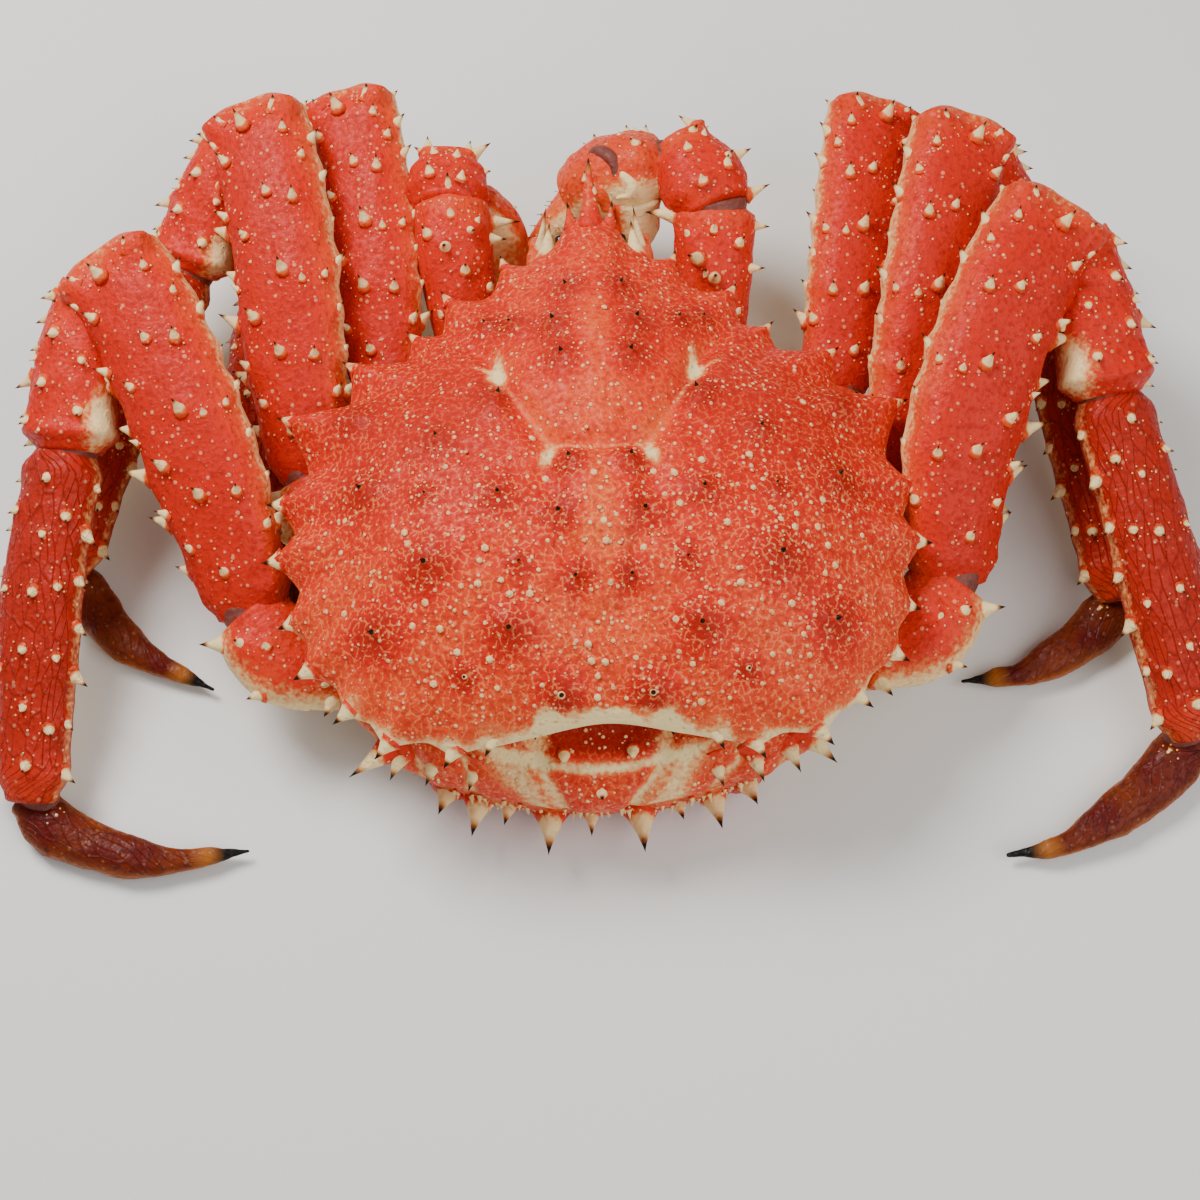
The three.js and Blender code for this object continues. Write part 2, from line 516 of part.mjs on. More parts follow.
const FLAP = {
  path: [[-81, 21.3], [-79, 12], [-69, 5.2], [-45, 3.7], [0, 3.7], [26, 3.7]],
  widths: [[0, 47, 0], [0.15, 44, 0], [0.35, 36, 0], [0.6, 31, 0], [0.85, 23, 0], [1, 12, 0]],
  centreX: TAIL_X, thickness: 7.4, across: 8, along: 8, curl: (v) => 9 * (1 - rise(0.1, 0.4, v)),
};
// Its spines: where the tip is, and the radius of the root
const PLATE_SPINES = [
  [-70, -78, 37, 4.4], [-59, -79, 36, 4], [-49.5, -80.5, 35, 3.8], [-38, -82, 34, 3.6],
  [31, -83, 34, 3.6], [42, -82, 34, 3.8], [52, -80, 35, 4], [62, -78, 36, 4.4],
];
const FLAP_SPINES = [
  [-47, -84, 20, 4.4], [-38, -90, 18, 5], [-29, -87, 18, 3.4], [-17, -96, 18, 5.4], [-5, -91, 18, 3],
  [9.5, -96, 18, 5.4], [20.5, -87, 18, 3.4], [31, -90, 18, 5], [41, -84, 20, 4.4],
];

// Spines along one level line of a slab. They fan out a little towards its sides.
function slabSpines(piece, v, rows) {
  const FAN = 0.93;
  const DEPTH = 1.5;
  return rows.map(([x, y, z, radius]) => {
    const u = (FAN * (x - TAIL_X)) / piece.half(v)[0];
    const root = piece.at(THREE.MathUtils.clamp(u, -FAN, FAN), v, DEPTH);
    return spineTo(root, new THREE.Vector3(x, y, z), radius);
  });
}
const plate = slab(PLATE);
const flap = slab(FLAP);
const plateSpines = slabSpines(plate, 0.6, PLATE_SPINES);
addPiece("abdomen_plate", shellRed, plate.body(), plate.body(GAP), ["carapace", "thorax"], plateSpines);
const flapSpines = slabSpines(flap, 0.08, FLAP_SPINES);
addPiece("abdomen_flap", creamShell, flap.body(), flap.body(GAP), ["thorax", "abdomen_plate"], flapSpines);

// The face: eyes on short stalks under the long spike, two pairs of feelers, and the mouth's folded legs
const EYE = {
  path: [[4.5, 60, 48], [6.5, 69, 50], [8.5, 77, 53]],
  sizes: [[0, 3, 3], [0.55, 2.4, 2.4], [0.8, 3.3, 3.3], [1, 1.6, 1.6]],
};
const FEELER = {
  path: [[13, 62, 42], [15, 74, 46.5], [16, 82, 42], [16, 80, 29], [16, 67, 15]],
  sizes: [[0, 4, 4], [0.2, 3.6, 3.4], [0.34, 2, 2], [0.5, 1.4, 1.4], [0.75, 1, 1], [1, 0.5, 0.5]],
};
const FEELER_SCALE = { root: [15, 74, 46], tip: [12.5, 86, 56], radius: 2.4 };
const SMALL_FEELER = {
  path: [[3.5, 63, 43], [4.2, 76, 45], [4.8, 88, 38]], sizes: [[0, 2, 2], [0.5, 1.5, 1.5], [1, 0.6, 0.6]],
};
const MOUTH_LEG = {
  path: [[7.5, 44, 11], [7.5, 60, 14], [7, 70, 24], [6, 72, 37]],
  sizes: [[0, 4.6, 4.4], [0.5, 5, 4], [1, 3.4, 3]],
};

function place(side, { path, sizes }, sides, rings) {
  return limb({ path: path.map((p) => onSide(side, p)), side, sizes, sides, rings });
}
for (const [word, side] of Object.entries(SIDES)) {
  const meets = ["carapace", "thorax"];
  const eye = place(side, EYE, 8, 6);
  addPiece(`eye_${word}`, eyeBlack, eye.body(), eye.body(GAP), meets);
  const feeler = place(side, FEELER, 7, 12);
  const scaleRoot = vec(onSide(side, FEELER_SCALE.root));
  const scale = spineTo(scaleRoot, vec(onSide(side, FEELER_SCALE.tip)), FEELER_SCALE.radius);
  addPiece(`antenna_${word}`, legRed, feeler.body().add(scale), feeler.body(GAP), meets);
  const small = place(side, SMALL_FEELER, 6, 6);
  addPiece(`antennule_${word}`, legRed, small.body(), small.body(GAP), meets);
  const mouthLeg = place(side, MOUTH_LEG, 8, 6);
  addPiece(`mouth_leg_${word}`, creamShell, mouthLeg.body(), mouthLeg.body(GAP), meets);
}

// Cuts each piece where it meets its root and the floor.
const floor = shaped(new THREE.BoxGeometry(600, 600, 100), (p) => p.setZ(p.z - 50));
const bodies = new Map();
for (const [name, piece] of pieces) {
  const cut = piece.cutBy.reduce((left, other) => left.subtract(pieces.get(other).swollen), piece.solid);
  bodies.set(name, largest(cut.subtract(floor)));
}

// Whether two solids come nearer than the gap.
function tooClose(a, b) {
  const boxA = a.boundingBox();
  const boxB = b.boundingBox();
  const apart = [0, 1, 2].some((k) => boxA.min[k] > boxB.max[k] + GAP || boxB.min[k] > boxA.max[k] + GAP);
  return !apart && a.minGap(b, GAP) < GAP * 0.9;
}

// Adds the spines that keep clear of every other piece, and keeps the largest closed surface.
for (const [name, piece] of pieces) {
  const others = [...bodies].filter(([other]) => other !== name).map(([, solid]) => solid);
  const clear = piece.spines.filter((one) => !others.some((other) => tooClose(one, other)));
  const whole = wasm.Manifold.union([bodies.get(name), ...clear]).subtract(floor);
  bodies.set(name, largest(whole));
  crab.add(toMesh(name, bodies.get(name), piece.material));
}

export default crab;
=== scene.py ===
import bisect
import math
import random
from types import SimpleNamespace

import bmesh
import bpy
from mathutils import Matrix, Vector, geometry, noise


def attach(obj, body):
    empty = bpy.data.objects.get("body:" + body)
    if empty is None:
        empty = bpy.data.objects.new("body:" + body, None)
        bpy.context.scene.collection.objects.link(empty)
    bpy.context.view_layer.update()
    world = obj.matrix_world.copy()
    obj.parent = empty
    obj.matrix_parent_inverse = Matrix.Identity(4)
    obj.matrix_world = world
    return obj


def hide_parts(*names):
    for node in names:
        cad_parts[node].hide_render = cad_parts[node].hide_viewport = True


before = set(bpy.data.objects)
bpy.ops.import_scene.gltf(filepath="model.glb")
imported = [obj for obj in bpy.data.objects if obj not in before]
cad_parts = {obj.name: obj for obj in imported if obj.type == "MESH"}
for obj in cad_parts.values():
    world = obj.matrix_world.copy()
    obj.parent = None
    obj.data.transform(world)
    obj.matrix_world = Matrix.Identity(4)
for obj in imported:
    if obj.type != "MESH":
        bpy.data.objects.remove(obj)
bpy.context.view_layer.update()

# The back shell. On the animal it is one dome of chitin and lime, boiled orange red, set with thorns.
# It hangs over the hips like a roof, and its rim carries a row of broad thorns with cream ends.
# All meshes are made in millimetres and brought to metres when each piece is finished.
MM = 0.001
SHELL_TOP = 83
MARGIN_HEIGHT = 50
SHELL_UNDERSIDE = 45.8
RIM_DEPTH = 3
SHELL_CENTRE = Vector((0, -6, 0))
MARGIN_PLAN = [
    (0, 79), (6, 76.5), (11, 69), (17, 65), (31, 54.5), (44, 43.5), (58, 34), (73, 20.5), (80, 5),
    (82.5, -14), (81.5, -31), (78, -47), (71, -58), (63, -67), (52, -72), (35, -75.5), (20, -74),
    (0, -71.5),
]
# x, y and height of the thorns on one side of the back
BACK_THORNS = [
    (7, 49, 4.5), (11, 36, 5), (9, 24, 5), (23, 40, 3.5), (30, 43, 3), (8, -8, 4.5), (11, -22, 5),
    (7, -38, 4), (27, 14, 5), (43, 2, 4), (66, 16, 5.5), (27, -17, 4.5), (63, -9, 5.5), (46, -15, 3),
    (46, -34, 6), (22, -35, 3), (60, -48, 6), (25, -51, 5.5), (37, -61, 3), (12, -66, 5),
]
# x, y and z of the tips of the rim's thorns on one side, and the radius of each root
RIM_THORNS = [
    (24, 69, 59, 4), (41, 59, 57, 5.6), (51, 48, 54, 5.2), (69, 39, 54, 7.4), (87, 22, 54, 8.4),
    (89.5, -4, 53, 6.8), (90.5, -21, 52, 6.8), (86, -40, 51, 6.4), (81, -54, 50, 6), (70, -66, 49, 5.6),
    (59, -76, 49, 5.4), (41, -79, 49, 4.8), (30, -77, 52, 4.4), (17, -73, 53, 3.4),
]
REAR_RIM = 9  # the rim's thorns from this one on stand on the cream rear rim
MARKS = ("pale", "tip", "warm", "net")  # what the finishes read at each point of a shell
CURVE_STEPS = 25  # points between two handles of a smooth line
ROOT_SUNK = 0.5  # how far a thorn's root goes under the shell, as a share of its radius
ROOT_FLARE = 0.5  # how much wider a thorn is right at its root
CREAM_RISE = 0.24  # the share of a thorn's length over which red turns to cream
KNOB_FLAT = 0.5  # how much a knob is pressed flat on the shell
KNOBS_AT_ONCE = 24


def rise(start, end, x):
    share = min(1, max(0, (x - start) / (end - start)))
    return share * share * (3 - 2 * share)


def bell(distance, width):
    return math.exp(-((distance / width) ** 2))


def smooth_line(points, closed=False):
    """A smooth line through a few points, read by the share of its length: its place and its direction."""
    points = [Vector(p) for p in points]
    count = len(points)
    if closed:
        points = [points[-1], *points, points[0], points[1]]
    else:
        points = [2 * points[0] - points[1], *points, 2 * points[-1] - points[-2]]
    dense = [points[1]]
    for i in range(count if closed else count - 1):
        before, start, end, after = points[i : i + 4]
        handles = start + (end - before) / 6, end - (after - start) / 6
        dense += geometry.interpolate_bezier(start, *handles, end, CURVE_STEPS)[1:]
    reach = [0.0]
    for a, b in zip(dense, dense[1:]):
        reach.append(reach[-1] + (b - a).length)

    def place(t):
        goal = min(1, max(0, t)) * reach[-1]
        i = min(len(reach) - 1, max(1, bisect.bisect_left(reach, goal)))
        return dense[i - 1].lerp(dense[i], (goal - reach[i - 1]) / (reach[i] - reach[i - 1]))

    def direction(t):
        return (place(t + 0.02) - place(t - 0.02)).normalized()

    return place, direction, reach[-1]


def new_mesh():
    mesh = bmesh.new()
    for mark in MARKS:
        mesh.verts.layers.float.new(mark)
    mesh.verts.layers.float_vector.new("grain")
    return mesh


def mark(mesh, vertex, grain, **values):
    for name, value in values.items():
        vertex[mesh.verts.layers.float[name]] = value
    vertex[mesh.verts.layers.float_vector["grain"]] = grain


def thorn(
    mesh, root, tip, radius, cream=1, black=1, warm=0, flat=1, around=10, rings=8, blunt=1.1, bare=0.16
):
    """A thorn with a flared root sunk into the shell: red at first, then cream, and black at its tip."""
    along = (tip - root).normalized()
    across = along.cross(Vector((0, 0, 1)) if abs(along.z) < 0.95 else Vector((0, 1, 0))).normalized()
    level = across.cross(along)
    sunk = ROOT_SUNK * radius * flat
    length = (tip - root).length + sunk
    made = bmesh.ops.create_uvsphere(mesh, u_segments=around, v_segments=rings, radius=1)["verts"]
    for v in made:
        share = math.acos(max(-1, min(1, -v.co.z))) / math.pi
        turn = math.atan2(v.co.y, v.co.x)
        flare = 1 + ROOT_FLARE * (1 - share) ** 4
        out = 0 if abs(v.co.z) > 0.999 else radius * (1 - share) ** blunt * flare
        v.co = root + across * (out * math.cos(turn)) + level * (out * flat * math.sin(turn))
        v.co += along * (share * length - sunk)
        pale = cream * rise(bare, bare + CREAM_RISE, share)
        mark(mesh, v, v.co, pale=pale, tip=share * black, warm=warm, net=0)


def knob(mesh, place, outward, size, cream=1):
    """A small round knob of lime."""
    made = bmesh.ops.create_uvsphere(mesh, u_segments=6, v_segments=4, radius=size)["verts"]
    for v in made:
        v.co = place + v.co - outward * (KNOB_FLAT * v.co.dot(outward))
        mark(mesh, v, v.co, pale=cream, tip=0, warm=0.2, net=0)


def join(mesh, loose):
    """Adds a loose mesh of thorns and knobs to the piece that they grow on."""
    data = bpy.data.meshes.new("loose")
    loose.to_mesh(data)
    loose.free()
    mesh.from_mesh(data)
    bpy.data.meshes.remove(data)


def add_knobs(mesh, knobs):
    """Grows many small knobs, a few at a time, which is quicker than all of them in one mesh."""
    for first in range(0, len(knobs), KNOBS_AT_ONCE):
        few = new_mesh()
        for one in knobs[first : first + KNOBS_AT_ONCE]:
            knob(few, *one)
        join(mesh, few)


LEFT_RIM = [(-x, y) for x, y in reversed(MARGIN_PLAN[1:-1])]
RIM_STEPS = 540
rim_at = smooth_line([(x, y, 0) for x, y in MARGIN_PLAN + LEFT_RIM], closed=True)[0]
rim_points = []
for step in range(RIM_STEPS):
    away = rim_at(step / RIM_STEPS) - SHELL_CENTRE
    rim_points.append((math.atan2(away.y, away.x), away.length))
rim_points.sort()


def rim_reach(turn):
    """How far the rim lies from the middle of the shell in one direction, seen from above."""
    i = bisect.bisect(rim_points, (turn, 0)) - 1
    a, b = rim_points[i], rim_points[(i + 1) % len(rim_points)]
    gap = (b[0] - a[0]) % math.tau
    return a[1] + (b[1] - a[1]) * min(1, max(0, (turn - a[0]) / gap if gap else 0))


def rim_height(x, y):
    return MARGIN_HEIGHT + 12 * rise(20, 78, y) + 6 * bell(x, 26) * (1 - rise(-70, -40, y))


def neck_line(y):
    """How far the groove round the stomach lies from the middle of the back."""
    return 13 + 14 * rise(-8, 26, y) + 10 * rise(24, 44, y)


def regions(x, y):
    """The raised fields over the stomach, heart and gills, and the grooves between them."""
    side = abs(x)
    stomach = 3.5 * bell(math.hypot(x, y - 30), 20)
    heart = 3 * bell(math.hypot(x, (y + 20) * 0.7), 12)
    gill = 4.5 * bell(math.hypot(side - 46, y + 24), 24) + 2 * bell(math.hypot(side - 52, y - 8), 14)
    neck = 3.4 * bell(side - neck_line(y), 4) * rise(-8, 2, y) * (1 - rise(30, 48, y))
    neck += 2.6 * bell(y + 3, 3) * (1 - rise(11, 17, side))
    heart_side = 2.4 * bell(side - 14 - 0.2 * (y + 8), 3.2) * rise(-56, -44, y) * (1 - rise(-12, -4, y))
    return stomach + heart + gill - neck - heart_side


def shell_height(x, y, share=None):
    away = Vector((x, y, 0)) - SHELL_CENTRE
    if share is None:
        share = min(1, away.length / rim_reach(math.atan2(away.y, away.x)))
    edge = rim_height(x, y)
    dome = (1 - share**2.3) ** 0.8
    return edge + (SHELL_TOP - edge) * dome + regions(x, y) * (1 - rise(0.75, 1, share))


def shell_outward(x, y):
    step = 1.5
    dx = (shell_height(x + step, y) - shell_height(x - step, y)) / (2 * step)
    dy = (shell_height(x, y + step) - shell_height(x, y - step)) / (2 * step)
    return Vector((-dx, -dy, 1)).normalized()


def thorn_swelling(x, y):
    """How high and how deep red the shell swells round the thorns of the back."""
    high = red = 0
    for tx, ty, height in BACK_THORNS:
        far = math.hypot(abs(x) - tx, y - ty)
        if far < 12:
            high += 0.5 * height * bell(far, height)
            red += bell(far, 1.25 * height)
    return high, min(1, red)


def shell_marks(x, y, share):
    """The cream, orange and netted fields of the back."""
    side = abs(x)
    star = 0.75 * bell(side - 26.5 - 0.05 * (y - 27), 1.6) * bell(y - 26, 6.5)
    star += 0.62 * bell(math.hypot(side - 27.5, (y - 22.5) * 1.3), 2.8)
    star += 0.5 * bell(y - 24 - 0.5 * (side - 27), 1.1) * bell(side - 31, 4)
    wedge = bell(side - 13.5 + 0.22 * (y + 5), 1.9) * bell(y + 5.5, 3.4)
    groove = 0.4 * bell(y + 3.2 - 0.01 * side * side, 0.7) * (1 - rise(9, 14, side))
    groove += 0.3 * bell(side - neck_line(y) + 0.6, 1.3) * rise(-6, 1, y) * (1 - rise(16, 28, y))
    worn = 0.85 + 0.7 * noise.noise(Vector((x, y, 4)) * 0.22)
    ragged = 0.022 * noise.noise(Vector((x, y, 6)) * 0.45)
    hem = 0.8 * rise(56, 64, -y) * rise(0.935, 0.968, share + ragged) * (1 - rise(16, 30, side)) * worn
    hem += 0.34 * rise(62, 70, -y) * rise(0.965, 0.99, share) * worn + 0.3 * rise(0.985, 1, share) * worn
    for tx, ty, _, radius in RIM_THORNS[REAR_RIM:]:
        hem += 0.75 * bell(math.hypot(side - tx, y - ty - 2), 0.9 * radius) * worn
    warm = 0.75 * bell(math.hypot(x, (y - 26) * 0.8), 18)
    warm += 0.9 * bell(math.hypot(x * 1.2, (y + 22) * 0.7), 15)
    warm += 0.75 * bell(side - neck_line(y) + 2, 3.2) * rise(-12, -4, y) * (1 - rise(22, 40, y))
    warm += 0.38 * rise(10, 60, -y) - 0.4 * bell(math.hypot(side - 45, y - 12), 28)
    net = 0.4 + 0.6 * rise(-14, 30, -y) + 0.35 * rise(0.6, 0.9, share)
    return min(1, star + wedge + groove + hem), warm, min(1, net)


def finished(name, mesh, material, slot, *nodes):
    """Closes a piece made in millimetres, keeps it above the floor and gives it the solids' place."""
    for v in mesh.verts:
        v.co.z = max(0, v.co.z)
    bmesh.ops.recalc_face_normals(mesh, faces=mesh.faces)
    bmesh.ops.scale(mesh, vec=(MM, MM, MM), verts=mesh.verts)
    data = bpy.data.meshes.new(name)
    mesh.to_mesh(data)
    mesh.free()
    data.polygons.foreach_set("use_smooth", [True] * len(data.polygons))
    data.materials.append(material)
    piece = bpy.data.objects.new(name, data)
    bpy.context.scene.collection.objects.link(piece)
    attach(piece, "root")
    if nodes:
        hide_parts(*nodes)


def linear(code):
    """A colour as a hex code, in the linear light that the nodes work in."""
    parts = [int(code[i : i + 2], 16) / 255 for i in (1, 3, 5)]
    return (*[p / 12.92 if p <= 0.04045 else ((p + 0.055) / 1.055) ** 2.4 for p in parts], 1)


def add_node(tree, kind, inputs=None, out=0, **settings):
    """Adds a node with its settings and links, and gives one of its outputs."""
    made = tree.nodes.new(kind)
    for key, value in settings.items():
        setattr(made, key, value)
    for socket, value in (inputs or {}).items():
        if isinstance(value, bpy.types.NodeSocket):
            tree.links.new(value, made.inputs[socket])
        else:
            made.inputs[socket].default_value = value
    return made.outputs[out] if len(made.outputs) else None


def empty_material(name):
    material = bpy.data.materials.new(name)
    material.use_nodes = True
    material.node_tree.nodes.clear()
    return material


# Sizes of the shell's patterns in millimetres, and the colours that every shell shares
CLOUD = 14
MOTTLE = 1.5
MOTTLE_DEPTH = 0.38
GRANULE_GAP = 1.9
GRANULE_HEIGHT = 0.4
NET_CELL = 2
NET_WAVE = 2.1
WRINKLE_GAP = 2.6
WRINKLE_DEPTH = 0.4
GRANULE = "#FFC48E"
NET_LINE = "#F58E50"
LIME_EDGE = "#EA8C4E"
LIME = "#F6D89A"
AMBER = "#A8601F"
BLACK_HORN = "#140C0A"


def crab_shell(name, red, orange, deep, netted=0, veins=0, dots=1, rough=0.5):
    """Boiled crab shell: red over lime, granular, netted or veined, and bare cream in places."""
    material = empty_material(name)
    tree = material.node_tree
    place = add_node(tree, "ShaderNodeTexCoord", out="Object")
    pale, tip, warm, net = [
        add_node(tree, "ShaderNodeAttribute", out="Fac", attribute_name=key) for key in MARKS
    ]
    # Broad clouds of orange and fine deep blots, as the boiled colour lies unevenly
    drift = add_node(
        tree, "ShaderNodeTexNoise", {"Vector": place, "Scale": 1 / (CLOUD * MM), "Detail": 2.0}
    )
    mottle = add_node(
        tree, "ShaderNodeTexNoise", {"Vector": place, "Scale": 1 / (MOTTLE * MM), "Detail": 1.5}
    )
    clouds = add_node(
        tree, "ShaderNodeMapRange", {"Value": drift, "From Min": 0.4, "From Max": 0.65, "To Max": 0.22}
    )
    orange_share = add_node(tree, "ShaderNodeMath", {0: warm, 1: clouds}, operation="ADD", use_clamp=True)
    # Negative warm marks give deep red: mostly the shell's own deeper red, but on the upper plate of the
    # abdomen also the painted shade under the back shell's rim
    deep_share = add_node(tree, "ShaderNodeMapRange", {"Value": warm, "From Min": 0.0, "From Max": -1.0})
    blot = add_node(
        tree, "ShaderNodeMapRange", {"Value": mottle, "From Min": 0.5, "From Max": 0.7, "To Max": 0.5}
    )
    # Pale granules of up to 1.3 mm across, not in every cell of the grid
    grid = add_node(tree, "ShaderNodeTexVoronoi", {"Vector": place, "Scale": 1 / (GRANULE_GAP * MM)})
    chance = add_node(tree, "ShaderNodeSeparateColor", {0: grid.node.outputs["Color"]})
    reach = add_node(
        tree,
        "ShaderNodeMapRange",
        {"Value": chance, "From Min": 0.55 - 0.35 * dots, "To Min": 0.06, "To Max": 0.34},
    )
    apart = add_node(tree, "ShaderNodeMath", {0: grid, 1: reach}, operation="SUBTRACT")
    speck = add_node(
        tree,
        "ShaderNodeMapRange",
        {"Value": apart, "From Min": 0.03, "From Max": -0.07, "To Max": 0.8 * dots},
    )
    hump = add_node(tree, "ShaderNodeMapRange", {"Value": apart, "From Min": 0.14, "From Max": -0.2})
    layers = [
        (orange_share, linear(orange)),
        (deep_share, linear(deep)),
        (blot, linear(deep)),
        (speck, linear(GRANULE)),
    ]
    height = add_node(
        tree, "ShaderNodeMath", {0: hump, 1: GRANULE_HEIGHT * dots * MM}, operation="MULTIPLY"
    )
    height = add_node(
        tree, "ShaderNodeMath", {0: mottle, 1: MOTTLE_DEPTH * MM, 2: height}, operation="MULTIPLY_ADD"
    )
    if netted:
        # A net of fine light lines, in cells of about 2 mm with wavy walls that break off here and there
        waves = add_node(
            tree,
            "ShaderNodeVectorMath",
            {0: mottle.node.outputs["Color"], "Scale": NET_WAVE * MM},
            operation="SCALE",
        )
        wavy = add_node(tree, "ShaderNodeVectorMath", {0: place, 1: waves}, operation="ADD")
        cells = add_node(
            tree,
            "ShaderNodeTexVoronoi",
            {"Vector": wavy, "Scale": 1 / (NET_CELL * MM)},
            feature="DISTANCE_TO_EDGE",
            voronoi_dimensions="2D",
        )
        walls = add_node(
            tree,
            "ShaderNodeMapRange",
            {"Value": cells, "From Min": 0.15, "From Max": 0.05, "To Max": netted},
        )
        whole = add_node(
            tree, "ShaderNodeMapRange", {"Value": mottle, "From Min": 0.56, "From Max": 0.44}
        )
        kept = add_node(tree, "ShaderNodeMath", {0: whole, 1: net}, operation="MULTIPLY")
        lines = add_node(tree, "ShaderNodeMath", {0: walls, 1: kept}, operation="MULTIPLY")
        layers.insert(3, (lines, linear(NET_LINE)))
    if veins:
        # Fine wrinkles drawn out along the limb
        grain = add_node(tree, "ShaderNodeAttribute", out="Vector", attribute_name="grain")
        cells = add_node(
            tree,
            "ShaderNodeTexVoronoi",
            {"Vector": grain, "Scale": 1 / WRINKLE_GAP},
            feature="DISTANCE_TO_EDGE",
            voronoi_dimensions="2D",
        )
        wrinkles = add_node(
            tree, "ShaderNodeMapRange", {"Value": cells, "From Min": 0.1, "From Max": 0.0, "To Max": veins}
        )
        layers.insert(3, (wrinkles, linear(deep)))
        if veins > 0.25:
            height = add_node(
                tree,
                "ShaderNodeMath",
                {0: wrinkles, 1: -WRINKLE_DEPTH * MM, 2: height},
                operation="MULTIPLY_ADD",
            )
    # Cream lime, with a ragged edge where it meets the red, then the amber and black of the horny tips
    rag = add_node(
        tree,
        "ShaderNodeMapRange",
        {"Value": mottle, "From Min": 0.3, "From Max": 0.7, "To Min": -0.16, "To Max": 0.16},
    )
    ragged = add_node(tree, "ShaderNodeMath", {0: pale, 1: rag}, operation="ADD")
    for source, start, end, colour in [
        (ragged, 0.2, 0.5, LIME_EDGE),
        (ragged, 0.4, 0.78, LIME),
        (tip, 0.7, 0.82, AMBER),
        (tip, 0.8, 0.88, BLACK_HORN),
    ]:
        share = add_node(
            tree, "ShaderNodeMapRange", {"Value": source, "From Min": start, "From Max": end}
        )
        layers.append((share, linear(colour)))
    shade = linear(red)
    for share, colour in layers:
        shade = add_node(tree, "ShaderNodeMix", {0: share, 6: shade, 7: colour}, out=2, data_type="RGBA")
    even = {"From Min": 0.35, "From Max": 0.65, "To Min": rough - 0.12, "To Max": rough + 0.12}
    shine = add_node(tree, "ShaderNodeMapRange", {"Value": mottle, **even})
    relief = add_node(tree, "ShaderNodeBump", {"Height": height, "Distance": 1.0, "Strength": 1.0})
    surface = add_node(
        tree,
        "ShaderNodeBsdfPrincipled",
        {"Base Color": shade, "Roughness": shine, "Normal": relief, "Specular IOR Level": 0.17},
    )
    add_node(tree, "ShaderNodeOutputMaterial", {"Surface": surface})
    return material


back_finish = crab_shell("boiled_back_shell", "#D8240E", "#EE5A26", "#A0180A", netted=0.6)


def rim_tip(x, y, z, side):
    return Vector((x * side - (LEFT_REACH if side < 0 else 0), y, z))


def rim_stations(around):
    """Round the shell: how far out the rim lies, how far its lobes stand out and how high they rise."""
    stations = []
    for k in range(around):
        turn = math.tau * k / around
        turn -= math.tau if turn > math.pi else 0
        reach = rim_reach(turn)
        lobe = lift = 0
        for x, y, z, radius in RIM_THORNS:
            for side in (-1, 1):
                away = rim_tip(x, y, 0, side) - SHELL_CENTRE
                base = rim_reach(math.atan2(away.y, away.x))
                off = (turn - math.atan2(away.y, away.x) + math.pi) % math.tau - math.pi
                share = max(0, 1 - abs(off) * base / (1.7 * radius)) ** 1.7
                height = (away.length - base - LOBE_TIP) * share
                if height > lobe:
                    lobe, lift = height, (z - rim_height(x, y)) * share
        stations.append((reach, lobe, lift))
    return stations


BACK_AROUND, BACK_RINGS = 440, 140
LOBE_TIP = 2.4  # how much of a rim thorn is its own cream tip
LEFT_REACH = 2  # the left thorns of the rim stand a little further out than the right ones
GRAINS_ROUND_THORN = 12
BACK_KNOBS = 300
KNOB_GAP_SQUARED = 11
back = new_mesh()
bmesh.ops.create_uvsphere(back, u_segments=BACK_AROUND, v_segments=BACK_RINGS, radius=1)
stations = rim_stations(BACK_AROUND)
for v in back.verts:
    share = min(1, math.hypot(v.co.x, v.co.y))
    turn = math.atan2(v.co.y, v.co.x)
    reach, lobe, lift = stations[round(turn / math.tau * BACK_AROUND) % BACK_AROUND]
    flared = reach * share + lobe * rise(0.72, 1, share) ** 2
    x = SHELL_CENTRE.x + math.cos(turn) * flared
    y = SHELL_CENTRE.y + math.sin(turn) * flared
    lobed = lift * rise(0.8, 1, share)
    if v.co.z > -1e-4:
        swell, redder = thorn_swelling(x, y) if share < 0.95 else (0, 0)
        lumps = 0.75 * noise.noise(Vector((x, y, 0)) * 0.17) + 0.25 * noise.noise(Vector((x, y, 9)) * 0.55)
        z = shell_height(x, y, share) + (swell + lumps) * (1 - rise(0.9, 1, share)) + lobed
        pale, warm, net = shell_marks(x, y, share)
        mark(back, v, (x, y, z), pale=pale, tip=0, warm=warm * (1 - redder) - 0.85 * redder, net=net)
    else:
        lip = rim_height(x, y) + lobed - RIM_DEPTH * (1 - rise(0.97, 1, share))
        z = SHELL_UNDERSIDE + (lip - SHELL_UNDERSIDE) * rise(0.84, 0.97, share)
        mark(back, v, (x, y, z), pale=1, tip=0, warm=0, net=0)
    v.co = (x, y, z)

